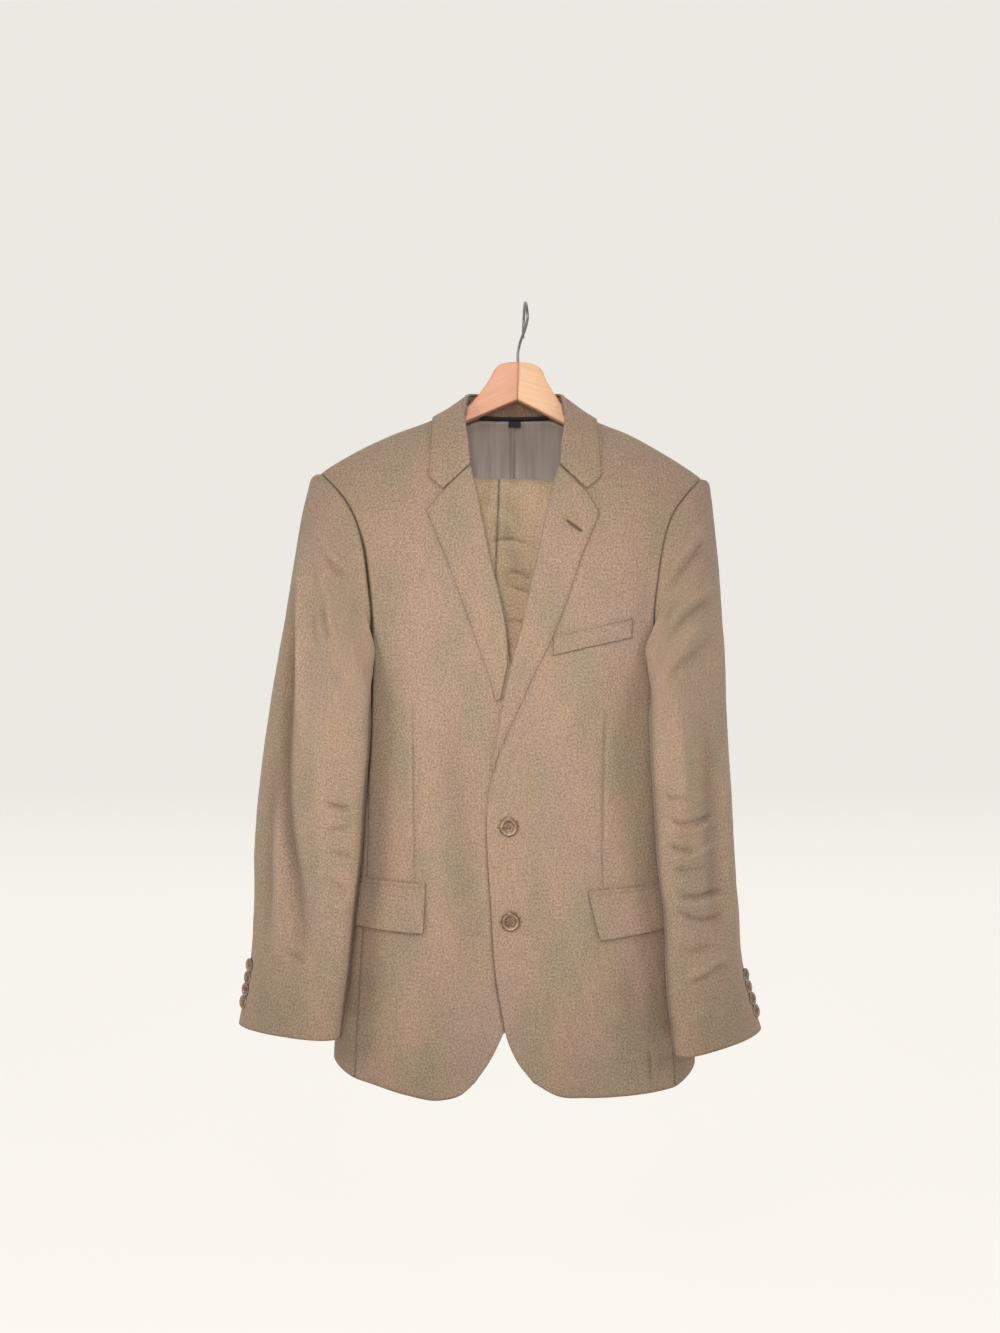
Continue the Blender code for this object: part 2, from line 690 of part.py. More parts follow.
def fold_frame(fold, edge, share):
    """Ways up and out at each point of the collar's fold."""
    inward = np.stack([CENTRE_X - fold[:, 0], -10 - fold[:, 1], 0 * fold[:, 0]], axis=-1)
    inward /= np.linalg.norm(inward, axis=1)[:, None]
    front = smoothstep((-112 - fold[:, 2]) / 40)[:, None]
    up = (1 - front) * np.array([0.0, 0.0, 1.0]) + front * inward
    up /= np.linalg.norm(up, axis=1)[:, None]
    out = (1 - front) * -inward + front * np.array([0.0, -1.0, 0.0])
    out -= up * np.sum(out * up, axis=1)[:, None]
    return up, out / np.linalg.norm(out, axis=1)[:, None]


def collar_fall_points(stations, columns):
    """Grid of the collar's fall: over the fold, then out to its edge."""
    share = np.linspace(0, 1, stations)
    fold, edge = collar_lines(share)
    up, out = fold_frame(fold, edge, share)
    radius = 2.4
    turn = np.radians(np.array([-90.0, -45.0, 0.0, 45.0, 90.0]))
    heart = fold - up * radius
    bend = heart[:, None] + radius * (
        up[:, None] * np.cos(turn)[None, :, None] + out[:, None] * np.sin(turn)[None, :, None]
    )
    start = bend[:, -1]
    b = np.linspace(0, 1, columns)[1:]
    face = start[:, None] + (edge - start)[:, None] * b[None, :, None]
    end = np.asarray(COLLAR_END, float)
    for tip, sign in ((0, 1.0), (stations - 1, -1.0)):
        shape = along_straight(end, b)
        straight = end[0] + (end[-1] - end[0]) * b[:, None]
        bow = shape - straight
        for k, weight in ((0, 1.0), (1, 0.45), (2, 0.12)):
            row = tip + int(sign) * k
            face[row, :, 0] += bow[:, 0] * weight * sign
            face[row, :, 2] += bow[:, 1] * weight
    distance = body_distance(face)[0]
    rest = 3.4 - 1.0 * b[None, :] + 1.2 * np.exp(-((face[..., 1] / 14) ** 2))
    wanted = np.maximum(distance * (1 - b[None, :] ** 1.5), 0) + rest * b[None, :] ** 0.5
    face = moved_out(face, np.maximum(wanted, rest))
    return np.concatenate([bend, face], axis=1)


def collar():
    """Folded collar in two pieces: the fall over the neck seam, and the stand inside it."""
    points = collar_fall_points(29, 7)
    sheet("collar_fall", points, (CENTRE_X, 0, -260), LINEN, 1.3)
    stations = 25
    share = np.linspace(0.09, 0.91, stations)
    fold, edge = collar_lines(share)
    up, out = fold_frame(fold, edge, share)
    top = fold - up * (2.4 + 2.0) - out * 3.4
    foot = neck_seam(stations)
    rise = np.linspace(0, 1, 4)[None, :, None]
    points = foot[:, None] * (1 - rise) + top[:, None] * rise
    data = sheet("collar_stand", points, (CENTRE_X, 0, -115), LINEN, 1.3)
    data.modifiers["wall"].offset = 1.0


def neck_seam(stations):
    """Foot of the collar's stand along the neck seam, from the left gorge round the back to the right one."""
    left_front = np.asarray(NECK_FRONT["left"][3::-1], float)
    left_back = np.asarray(NECK_BACK["left"][-2::-1], float)
    right_back = np.asarray(NECK_BACK["right"][1:], float)
    right_front = np.asarray(NECK_FRONT["right"][1:4], float)
    plane = np.concatenate([left_front, left_back, right_back, right_front])
    face = np.concatenate([np.full(3, FRONT), np.full(1, 0.0), np.full(len(left_back) + len(right_back) - 1, BACK),
                           np.full(1, 0.0), np.full(3, FRONT)])
    y = np.where(face == 0, 0.0, body_y(plane[:, 0], plane[:, 1], face))
    seam = with_y(plane, y)
    way = np.stack([CENTRE_X - seam[:, 0], -seam[:, 1] * 0.6, 0 * y], axis=-1)
    seam += way / np.linalg.norm(way, axis=1)[:, None] * (0.9 + 1.4 * smoothstep((-112 - plane[:, 1:]) / 18))
    seam[:, 2] += 0.8
    return along(seam, np.linspace(0, 1, stations))


def quad_plane(corners, u, v):
    """Grid between four corners: top left, top right, bottom right, bottom left."""
    a, b, c, d = (np.asarray(corner, float) for corner in corners)
    cu, cv = u[None, :, None], v[:, None, None]
    return (1 - cv) * ((1 - cu) * a + cu * b) + cv * ((1 - cu) * d + cu * c)


def raised(side, plane, rise):
    """Points of a front moved out along its surface's own normals."""
    x, z = plane[..., 0], plane[..., 1]
    step = 0.5
    slope_x = (front_y(side, x + step, z) - front_y(side, x - step, z)) / (2 * step)
    slope_z = (front_y(side, x, z + step) - front_y(side, x, z - step)) / (2 * step)
    normal = np.stack([slope_x, -np.ones_like(x), slope_z], axis=-1)
    normal /= np.linalg.norm(normal, axis=-1, keepdims=True)
    return with_y(plane, front_y(side, x, z)) + normal * rise


def pockets():
    """Breast welt and the hip flaps with their jets, each made from its front's points moved out."""
    jet = (2.9, 2.9, 2.2, 2.3, 2.2)
    patches = (
        ("chest_welt", "right", ((29, -382), (117, -361), (117, -382), (29, -402)), 6, (0, 1), (2.1, 2.1)),
        ("flap_left", "left", ((-196, -651), (-110, -653), (-112, -709), (-196, -706)), 10, (0, 0.1, 0.13, 0.55, 1), jet),
        ("flap_right", "right", ((67, -660), (172, -656), (172, -706), (80, -716)), 11, (0, 0.1, 0.13, 0.55, 1), jet),
    )
    for name, side, corners, columns, v, rise in patches:
        plane = quad_plane(corners, np.linspace(0, 1, columns), np.asarray(v, float))
        points = raised(side, plane, np.asarray(rise)[:, None, None])
        sheet(name, points, (plane[..., 0].mean(), 900, plane[..., 1].mean()), LINEN, 1.5)


def back_lining():
    """Lining of the upper back with a raised centre pleat, seen through the neck."""
    x = np.array([-104, -86, -68, -50, -34, -22, -15.5, -13, -10.5, 0, 14, 30, 46, 62, 80], float)
    head = np.array([(-104, -156), (-78, -139), (-55, -129), (-30, -127.9), (-12, -127.9), (12, -127.9), (33, -129),
                     (55, -140), (80, -158)], float)
    top = spline(head[:, 0], head[:, 1], x)
    down = np.linspace(0, 1, 8)[:, None]
    z = top + (-345 - top) * down
    grid_x = x[None, :] + 0 * z
    pleat = 1.8 * np.exp(-((grid_x + 13) / 2.2) ** 2)
    y = body_y(grid_x, z, BACK) - 5.4 - pleat
    points = np.stack([grid_x, y, z], axis=-1)
    sheet("back_lining", points, (CENTRE_X, 400, -230), SATIN, THIN)


def tube(name, path, radius, finish, resolution=2):
    """Round wire or cord through a list of points."""
    data = bpy.data.curves.new(name, "CURVE")
    data.dimensions = "3D"
    data.bevel_depth = radius * MM
    data.bevel_resolution = resolution
    data.use_fill_caps = True
    line = data.splines.new("POLY")
    line.points.add(len(path) - 1)
    for point, place in zip(line.points, path):
        point.co = (*(np.asarray(place) * MM), 1.0)
    return collect(bpy.data.objects.new(name, data), finish)


def neck_trim():
    """Dark piping along the back neck and the small bare label under it."""
    x = np.linspace(-52, 28, 12)
    y = body_y(x, np.full_like(x, -125.0), BACK) - WALL - 4.2
    tube("neck_piping", np.stack([x, y, np.full_like(x, -125.2)], axis=-1), 2.2, DARK)
    size = (14.5, 0.8, 7.0)
    spot = (-11.5, float(body_y(-11.5, -132.0, BACK)) - 9.9, -131.6)
    bpy.ops.mesh.primitive_cube_add(size=1.0, location=[value * MM for value in spot])
    label = bpy.context.object
    label.name = "neck_label"
    label.scale = [value * MM for value in size]
    bpy.ops.object.transform_apply(location=False, rotation=False, scale=True)
    collect(label, DARK)


def turned(name, profile, steps, place, tilt):
    """Turned piece from a profile of radius and height, its axis tilted from Z."""
    data = bpy.data.meshes.new(name)
    data.from_pydata([(r * MM, 0.0, h * MM) for r, h in profile], [(i, i + 1) for i in range(len(profile) - 1)], [])
    obj = bpy.data.objects.new(name, data)
    screw = obj.modifiers.new("turn", "SCREW")
    screw.steps = screw.render_steps = steps
    screw.use_merge_vertices = True
    screw.merge_threshold = 0.00001
    obj.location = [value * MM for value in place]
    obj.rotation_euler = tilt
    return obj


def button_profile(radius, height):
    """Section of a button: rim, dished face and flat back, from the face's centre to the back's."""
    return (
        (0, height - 1.0), (radius * 0.62, height - 1.0), (radius * 0.74, height - 0.1), (radius * 0.9, height),
        (radius, height - 0.9), (radius, 0.8), (radius * 0.86, 0), (0, 0),
    )


def front_buttons():
    """The two horn buttons on the right front."""
    for name, x, z in (("button_upper", -19.2, -589.4), ("button_lower", -17.0, -693.8)):
        y = float(front_y("right", x, z)) - 0.45
        button = turned(name, button_profile(10.0, 3.4), 24, (x, y, z), (math.pi / 2, 0, 0))
        collect(button, HORN)


def cuff_buttons():
    """Four kissing buttons by the back seam of each cuff, joined into one piece."""
    for side, sign in (("left", -1.0), ("right", 1.0)):
        rings, knots = sleeve_rings(side)
        shares = np.linspace(1, 0.6, 201)
        line = sleeve_surface(side, shares, np.full((201, 1), 6.0))[:, 0]
        nearby = sleeve_surface(side, shares, np.full((201, 1), 12.0))[:, 0]
        run = np.concatenate([[0.0], np.cumsum(np.linalg.norm(np.diff(line, axis=0), axis=1))])
        pieces = []
        for k in range(4):
            i = int(np.argmin(np.abs(run - CUFF_BUTTON_START[side] - BUTTON_PITCH * k)))
            across = nearby[i] - line[i]
            down = line[i - 6] - line[i + 6]
            normal = np.cross(across, down)
            normal *= sign / math.copysign(np.linalg.norm(normal), normal[0])
            spot = line[i] + normal * 0.75
            aim = type(bpy.context.scene.cursor.location)(normal).to_track_quat("Z", "Y").to_euler()
            pieces.append(turned(f"cuff_button_{side}_{k}", button_profile(7.4, 2.8), 12, spot, aim))
        joined = pieces[0]
        joined.name = f"cuff_buttons_{side}"
        for piece in pieces[1:]:
            cutter(piece)
            union = joined.modifiers.new("join", "BOOLEAN")
            union.operation = "UNION"
            union.solver = "EXACT"
            union.object = piece
        collect(joined, HORN)


def cutter(obj):
    """Keep a helper solid hidden, drawn as wire, in its own collection."""
    for holder in list(obj.users_collection):
        holder.objects.unlink(obj)
    HELPERS.objects.link(obj)
    obj.hide_render = True
    obj.display_type = "WIRE"


def tilted(points):
    """Turn points about the hanger's middle by its tilt, the right side down."""
    points = np.asarray(points, float).copy()
    x = points[..., 0] - HANGER_X
    z = points[..., 2] - HANGER_PIVOT_Z
    points[..., 0] = HANGER_X + x * math.cos(HANGER_TILT) + z * math.sin(HANGER_TILT)
    points[..., 2] = HANGER_PIVOT_Z - x * math.sin(HANGER_TILT) + z * math.cos(HANGER_TILT)
    return points


def hanger():
    """Flat wooden hanger: two arms in one outline with eased edges, and the round trouser bar."""
    top = along(HANGER_TOP, np.linspace(0, 1, 22))
    foot = along((HANGER_TOP[-1],) + HANGER_FOOT, np.linspace(0, 1, 16))[1:]
    right = np.concatenate([top, foot])
    left = right[1:-1][::-1] * np.array([-1.0, 1.0])
    outline = np.concatenate([right, left])
    edge = 2.0
    data = bpy.data.curves.new("hanger_outline", "CURVE")
    data.dimensions = "2D"
    data.fill_mode = "BOTH"
    data.extrude = (HANGER_DEPTH / 2 - edge) * MM
    data.bevel_depth = edge * MM
    data.bevel_resolution = 1
    data.offset = -edge * MM
    line = data.splines.new("POLY")
    line.points.add(len(outline) - 1)
    for point, (x, z) in zip(line.points, outline):
        point.co = (x * MM, (z - HANGER_PIVOT_Z) * MM, 0.0, 1.0)
    line.use_cyclic_u = True
    source = bpy.data.objects.new("hanger_outline", data)
    SUIT.objects.link(source)
    source.location = (HANGER_X * MM, 0, HANGER_PIVOT_Z * MM)
    source.rotation_euler = (math.pi / 2, HANGER_TILT, 0)
    bpy.context.view_layer.update()
    shape = bpy.data.meshes.new_from_object(source.evaluated_get(bpy.context.evaluated_depsgraph_get()))
    welded = bmesh.new()
    welded.from_mesh(shape)
    bmesh.ops.remove_doubles(welded, verts=welded.verts, dist=0.00001)
    welded.to_mesh(shape)
    welded.free()
    wood = bpy.data.objects.new("hanger", shape)
    wood.matrix_world = source.matrix_world
    bpy.data.objects.remove(source)
    ends = tilted([(HANGER_X - BAR_HALF, 0, BAR_Z), (HANGER_X + BAR_HALF, 0, BAR_Z)])
    bpy.ops.mesh.primitive_cylinder_add(
        vertices=20, radius=BAR_RADIUS * MM, depth=2 * BAR_HALF * MM, location=ends.mean(axis=0) * MM,
        rotation=(0, math.pi / 2 + HANGER_TILT, 0),
    )
    bar = bpy.context.object
    cutter(bar)
    union = wood.modifiers.new("bar", "BOOLEAN")
    union.operation = "UNION"
    union.solver = "EXACT"
    union.object = bar
    collect(wood, WOOD)


def hanger_hook():
    """Steel hook: a stem from the wood, leaning a little, and an open loop across the hanger."""
    stem = along(HOOK_TABLE, np.linspace(0, 1, 13))
    centre_z = HOOK_WIRE - HOOK_LOOP
    turn = np.radians(np.linspace(188, -48, 22))
    loop = np.stack(
        [np.interp(turn, np.radians([-48, 90, 188]), [-2.0, 0.0, 2.6]), HOOK_LOOP * np.cos(turn),
         centre_z + HOOK_LOOP * np.sin(turn)], axis=-1,
    )
    tube("hanger_hook", np.concatenate([stem[:-1], loop]), HOOK_WIRE, STEEL)


def leg_path(offset):
    """Line over the bar at a distance from its surface: y, z and share of the leg, from the front hem back."""
    radius = BAR_RADIUS + offset
    turn = np.radians(np.linspace(180, 0, 9))[1:-1]
    front_z = BAR_Z - LEG_FRONT * np.array([1, 0.66, 0.33, 0.0])
    back_z = BAR_Z - LEG_BACK * np.array([0.0, 0.25, 0.5, 0.75, 1.0])
    y = np.concatenate([np.full(4, -radius), radius * np.cos(turn), np.full(5, radius)])
    z = np.concatenate([front_z, BAR_Z + radius * np.sin(turn), back_z])
    share = np.concatenate([(0, 0.17, 0.33, 0.5), np.full(7, 0.5), (0.5, 0.625, 0.75, 0.875, 1)])
    return y, z, share


def leg_section(inner, panel):
    """Rows of points for one panel of a folded leg: half of the flattened tube, seam to seam round its crease."""
    outer = inner + LEG_PLY
    radius = LEG_PLY / 2
    rows = np.asarray(LEG_WIDTHS, float)
    column, sign = (1, -1.0) if panel == "back" else (2, 1.0)
    sections = []
    for offset, reach in ((outer, 0.0), (outer, 0.5), (outer, 1.0), (inner + radius * 1.7, 1.0),
                          (inner + radius * 0.3, 1.0), (inner, 1.0), (inner, 0.5), (inner, 0.0)):
        y, z, share = leg_path(offset)
        width = spline(rows[:, 0], rows[:, column], share)
        bulge = radius if inner < offset < outer else 0.0
        x = TROUSER_SEAM_X + sign * (SEAM + reach * (width - radius - SEAM) + bulge * 0.7)
        sections.append(np.stack([x, y, z], axis=-1))
    return np.stack(sections, axis=1)


def trousers():
    """Two legs folded flat along their creases, one round the other over the bar, and their waistband.

    The leg against the bar is out of sight, so its two panels are one tube. The outer leg's panels meet at its seams.
    """
    near = LEG_GAP
    back, front = leg_section(near, "back"), leg_section(near, "front")
    tube_rows = np.concatenate([back, front[:, ::-1][:, 1:-1], back[:, :1]], axis=1)
    leg = sheet("trouser_leg_inner", tilted(tube_rows), (TROUSER_SEAM_X, 0, BAR_Z), LINEN, THIN)
    close_ring(leg)
    far = near + LEG_PLY + LEG_GAP
    for panel, sign in (("front", 1.0), ("back", -1.0)):
        points = tilted(leg_section(far, panel))
        sheet(f"trouser_{panel}", points, (TROUSER_SEAM_X + sign * 50, 0, BAR_Z), LINEN, THIN)
    rows = np.asarray(LEG_WIDTHS, float)
    inner, outer = BAR_RADIUS + near, BAR_RADIUS + far + LEG_PLY
    width_back, width_front = rows[-1, 1], rows[-1, 2]
    turn = np.radians(np.linspace(90, 270, 5))
    middle, radius = (inner + outer) / 2, (outer - inner) / 2
    left = np.stack([TROUSER_SEAM_X - width_back + radius + radius * np.cos(turn), middle + radius * np.sin(turn)], -1)
    right = np.stack([TROUSER_SEAM_X + width_front - radius - radius * np.cos(turn), middle - radius * np.sin(turn)], -1)
    ring = np.concatenate([left, right, left[:1]])[None]
    z = BAR_Z - LEG_BACK - LEG_GAP - np.array([[0.0], [WAISTBAND]])
    points = np.stack([ring[..., 0] + 0 * z, ring[..., 1] + 0 * z, z + 0 * ring[..., 0]], axis=-1)
    centre = (TROUSER_SEAM_X, middle, BAR_Z - LEG_BACK - WAISTBAND / 2)
    close_ring(sheet("waistband", tilted(points), centre, LINEN, THIN))


def close_ring(obj):
    """Weld the first and last columns of a sheet that comes round on itself, before its wall is made."""
    weld = obj.modifiers.new("close", "WELD")
    weld.merge_threshold = 0.00001
    obj.modifiers.move(1, 0)


for leftover in list(bpy.data.objects):
    bpy.data.objects.remove(leftover)
SUIT = bpy.data.collections.new("linen_suit")
HELPERS = bpy.data.collections.new("helpers")
bpy.context.scene.collection.children.link(SUIT)
bpy.context.scene.collection.children.link(HELPERS)
jacket_fronts()
side_bodies()
jacket_backs()
sleeves()
lapels()
collar()
pockets()
back_lining()
neck_trim()
front_buttons()
cuff_buttons()
trousers()
hanger()
hanger_hook()
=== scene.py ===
"""Dressed model of a linen suit on its wooden hanger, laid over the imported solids."""

import logging
import math
from collections.abc import Callable, Sequence
from dataclasses import dataclass, field
from enum import Enum
from typing import Any

import bmesh
import bpy
import numpy as np
from mathutils import Matrix, Vector


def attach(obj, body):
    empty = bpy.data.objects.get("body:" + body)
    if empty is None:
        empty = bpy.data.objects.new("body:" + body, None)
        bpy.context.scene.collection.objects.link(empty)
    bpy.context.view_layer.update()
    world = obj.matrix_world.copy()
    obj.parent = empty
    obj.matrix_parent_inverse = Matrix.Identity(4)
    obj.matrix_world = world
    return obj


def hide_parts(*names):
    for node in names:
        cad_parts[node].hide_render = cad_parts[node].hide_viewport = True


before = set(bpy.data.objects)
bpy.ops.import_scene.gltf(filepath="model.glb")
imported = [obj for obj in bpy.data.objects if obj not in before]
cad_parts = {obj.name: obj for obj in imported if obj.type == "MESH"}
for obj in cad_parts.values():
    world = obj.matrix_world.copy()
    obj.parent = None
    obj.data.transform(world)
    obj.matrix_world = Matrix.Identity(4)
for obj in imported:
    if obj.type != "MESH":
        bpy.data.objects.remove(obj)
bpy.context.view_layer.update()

Array = np.ndarray
Table = tuple[tuple[float, ...], ...]
MM = 0.001
LOG = logging.getLogger("linen_suit")
BAR_Z, BAR_RADIUS = -211.0, 5.5
BUTTON_SPOTS = {"upper": (-19.2, -589.4), "lower": (-17.0, -693.8)}


class Side(Enum):
    """Left or right, as the front is seen."""

    LEFT = "left"
    RIGHT = "right"

    @property
    def sign(self) -> float:
        """-1 on the left, 1 on the right."""
        return -1.0 if self is Side.LEFT else 1.0


class Face(Enum):
    """Front or back of the jacket's body."""

    FRONT = -1.0
    BACK = 1.0


def per_side(left: Any, right: Any) -> Any:
    """Field of a dataclass with a value for each side."""
    return field(default_factory=lambda: {Side.LEFT: left, Side.RIGHT: right})


# Curves and patches


def spline(knots: Sequence[float] | Array, values: Any, at: Any) -> Array:
    """Smooth curve through table rows.

    Args:
        knots: Place of each row.
        values: A value, or a row of values, for each knot.
        at: Places asked for.

    Returns:
        A value, or a row of values, for each place.
    """
    knots = np.asarray(knots, float)
    values = np.asarray(values, float)
    at = np.clip(np.asarray(at, float), knots[0], knots[-1])
    step = np.diff(knots)
    shape = (-1,) + (1,) * (values.ndim - 1)
    slope = np.diff(values, axis=0) / step.reshape(shape)
    tangent = np.empty_like(values)
    tangent[0], tangent[-1] = slope[0], slope[-1]
    ahead, behind = step[1:].reshape(shape), step[:-1].reshape(shape)
    tangent[1:-1] = (slope[:-1] * ahead + slope[1:] * behind) / (ahead + behind)
    i = np.clip(np.searchsorted(knots, at, side="right") - 1, 0, len(knots) - 2)
    spread = at.shape + (1,) * (values.ndim - 1)
    h = step[i].reshape(spread)
    t = ((at - knots[i]) / step[i]).reshape(spread)
    return (
        (2 * t**3 - 3 * t**2 + 1) * values[i]
        + (t**3 - 2 * t**2 + t) * h * tangent[i]
        + (3 * t**2 - 2 * t**3) * values[i + 1]
        + (t**3 - t**2) * h * tangent[i + 1]
    )


def arc_knots(table: Any) -> Array:
    """Share of the length at each row of a table of points."""
    points = np.asarray(table, float)
    lengths = np.linalg.norm(np.diff(points, axis=0), axis=1)
    return np.concatenate([[0.0], np.cumsum(lengths)]) / lengths.sum()


def along(table: Any, t: Any) -> Array:
    """Point at a share of a smooth curve through a table."""
    return spline(arc_knots(table), table, t)


def along_straight(table: Any, t: Any) -> Array:
    """Point at a share of the straight runs between a table's points."""
    points = np.asarray(table, float)
    knots = arc_knots(table)
    return np.stack([np.interp(t, knots, points[:, k]) for k in range(points.shape[1])], axis=-1)


def along_x(table: Any, z: Any) -> Array:
    """x of a line that is given from its top down as x and z, at heights."""
    rows = np.asarray(table, float)
    return np.interp(-np.asarray(z, float), -rows[:, 1], rows[:, 0])


def lengths_along(points: Array) -> Array:
    """Length along a line, at each of its points."""
    return np.concatenate([[0.0], np.cumsum(np.linalg.norm(np.diff(points, axis=0), axis=1))])


def smoothstep(value: Any) -> Array:
    """0 below 0, 1 above 1, and a soft step between."""
    value = np.clip(value, 0.0, 1.0)
    return value * value * (3 - 2 * value)


def bell(value: Any) -> Array:
    """1 at 0, and a soft fall to 0 on both sides."""
    return np.exp(-(value**2))


def coons(top: Callable, bottom: Callable, left: Callable, right: Callable, u: Array, v: Array) -> Array:
    """Patch between four edges.

    Args:
        top: Top edge as a function of a share.
        bottom: Bottom edge.
        left: Left edge.
        right: Right edge.
        u: Shares across.
        v: Shares down.

    Returns:
        Points, a row for each v.
    """
    t, b, l, r = top(u)[None], bottom(u)[None], left(v)[:, None], right(v)[:, None]
    cu, cv = u[None, :, None], v[:, None, None]
    zero, one = np.zeros(1), np.ones(1)
    edges = (1 - cv) * t + cv * b + (1 - cu) * l + cu * r
    corners = (
        (1 - cu) * (1 - cv) * left(zero)[0]
        + cu * (1 - cv) * right(zero)[0]
        + (1 - cu) * cv * left(one)[0]
        + cu * cv * right(one)[0]
    )
    return edges - corners


def xyz(x: Any, y: Any, z: Any) -> Array:
    """Points from their three coordinates."""
    return np.stack((x, y, z), axis=-1)


def with_y(plane: Array, y: Array) -> Array:
    """Points from an x, z plane and their depths."""
    return xyz(plane[..., 0], y, plane[..., 1])


def inset(points: Array, top: float = 0.0, bottom: float = 0.0, left: float = 0.0, right: float = 0.0) -> Array:
    """Draw a grid's edge rows in towards their neighbours, in millimetres."""
    points = points.copy()

    def pull(edge: Array, inner: Array, amount: float) -> Array:
        """An edge row moved towards the row inside it."""
        run = inner - edge
        size = np.maximum(np.linalg.norm(run, axis=-1, keepdims=True), 1e-6)
        return edge + run * np.minimum(amount / size, 0.8)

    if top:
        points[0] = pull(points[0], points[1], top)
    if bottom:
        points[-1] = pull(points[-1], points[-2], bottom)
    if left:
        points[:, 0] = pull(points[:, 0], points[:, 1], left)
    if right:
        points[:, -1] = pull(points[:, -1], points[:, -2], right)
    return points


def soft_noise(x: Array, y: Array, size_x: float, size_y: float, seed: int) -> Array:
    """Smooth hills and hollows between -1 and 1.

    Args:
        x: First coordinate in millimetres.
        y: Second coordinate in millimetres.
        size_x: Width of a hill.
        size_y: Height of a hill.
        seed: Which pattern.

    Returns:
        The height at each point.
    """
    p, q = x / size_x, y / size_y
    i, j = np.floor(p), np.floor(q)
    s, t = smoothstep(p - i), smoothstep(q - j)

    def corner(a: Array, b: Array) -> Array:
        """Fixed scattered value at a corner of the grid."""
        wave = np.sin(a * 127.1 + b * 311.7 + seed * 74.7) * 43758.5453
        return (wave - np.floor(wave)) * 2 - 1

    low = corner(i, j) * (1 - s) + corner(i + 1, j) * s
    high = corner(i, j + 1) * (1 - s) + corner(i + 1, j + 1) * s
    return low * (1 - t) + high * t


@dataclass(frozen=True)
class Crease:
    """A soft ridge or trough in cloth, as a line in the front or back view.

    Attributes:
        points: Line, as x and z in millimetres.
        depth: Height of a ridge, or minus the depth of a trough, in millimetres.
        width: Half width of its form in millimetres.
    """

    points: Table
    depth: float
    width: float

    def height(self, x: Array, z: Array) -> Array:
        """How far the crease moves each point out; it fades in and out over about a third of its length."""
        line = np.asarray(self.points, float)
        if len(line) > 2:
            line = along(line, np.linspace(0, 1, 15))
        best = np.full(x.shape, np.inf)
        place = np.zeros(x.shape)
        runs = len(line) - 1
        for k in range(runs):
            start, way = line[k], line[k + 1] - line[k]
            share = np.clip(((x - start[0]) * way[0] + (z - start[1]) * way[1]) / (way @ way), 0, 1)
            gap = (x - start[0] - share * way[0]) ** 2 + (z - start[1] - share * way[1]) ** 2
            place = np.where(gap < best, (k + share) / runs, place)
            best = np.minimum(gap, best)
        fade = smoothstep(place / 0.3) * smoothstep((1 - place) / 0.35)
        return self.depth * np.exp(-best / self.width**2) * fade


def creased(creases: Sequence[Crease], x: Array, z: Array) -> Array:
    """Sum of many creases' heights."""
    return sum((crease.height(x, z) for crease in creases), np.zeros(np.shape(x)))


def crease_table(*rows: tuple[Table, float, float]) -> tuple[Crease, ...]:
    """Creases from rows of their line, depth and width."""
    return tuple(Crease(*row) for row in rows)


# Materials


def colour(text: str) -> tuple[float, float, float, float]:
    """Linear colour of an sRGB hex value."""
    parts = [int(text[k : k + 2], 16) / 255 for k in (1, 3, 5)]
    linear = [c / 12.92 if c <= 0.04045 else ((c + 0.055) / 1.055) ** 2.4 for c in parts]
    return (*linear, 1.0)


def add_node(tree: bpy.types.NodeTree, kind: str, links: dict[Any, Any] | None = None, **settings: Any) -> Any:
    """Add a node to a material.

    Args:
        tree: The material's nodes.
        kind: The node's type.
        links: Input socket's name or number, and the output socket that feeds it.
        settings: Properties, or input sockets by name with spaces as underscores.

    Returns:
        The new node.
    """
    node = tree.nodes.new(kind)
    for key, value in settings.items():
        if hasattr(node, key):
            setattr(node, key, value)
        else:
            node.inputs[key.replace("_", " ")].default_value = value
    for key, source in (links or {}).items():
        tree.links.new(source, node.inputs[key])
    return node


def blank(name: str, **settings: Any) -> tuple[bpy.types.Material, bpy.types.NodeTree, Any]:
    """New material with a Principled shader, its sockets set by name: the material, its nodes and the shader."""
    material = bpy.data.materials.new(name)
    material.use_nodes = True
    tree = material.node_tree
    tree.nodes.clear()
    shader = add_node(tree, "ShaderNodeBsdfPrincipled", **settings)
    add_node(tree, "ShaderNodeOutputMaterial", {"Surface": shader.outputs[0]})
    return material, tree, shader


def cloth_place(tree: bpy.types.NodeTree) -> Any:
    """Place on the cloth's own UV map, in metres: the output vector."""
    return add_node(tree, "ShaderNodeUVMap", uv_map="cloth").outputs[0]


def object_place(tree: bpy.types.NodeTree) -> Any:
    """Place on the object, in metres: the output vector."""
    return add_node(tree, "ShaderNodeTexCoord").outputs["Object"]


def drift(tree: bpy.types.NodeTree, place: Any, scale: tuple[float, float, float], detail: float) -> Any:
    """Noise over a stretched pattern: the output that gives its strength."""
    moved = add_node(tree, "ShaderNodeMapping", {"Vector": place}, Scale=scale)
    return add_node(tree, "ShaderNodeTexNoise", {"Vector": moved.outputs[0]}, Scale=1.0, Detail=detail).outputs[0]


def ramp(tree: bpy.types.NodeTree, source: Any, stops: Sequence[tuple[float, tuple[float, ...]]]) -> Any:
    """Colours along a strength: the output colour."""
    node = add_node(tree, "ShaderNodeValToRGB", {"Fac": source})
    while len(node.color_ramp.elements) < len(stops):
        node.color_ramp.elements.new(0.5)
    for element, (place, value) in zip(node.color_ramp.elements, stops):
        element.position = place
        element.color = value
    return node.outputs[0]


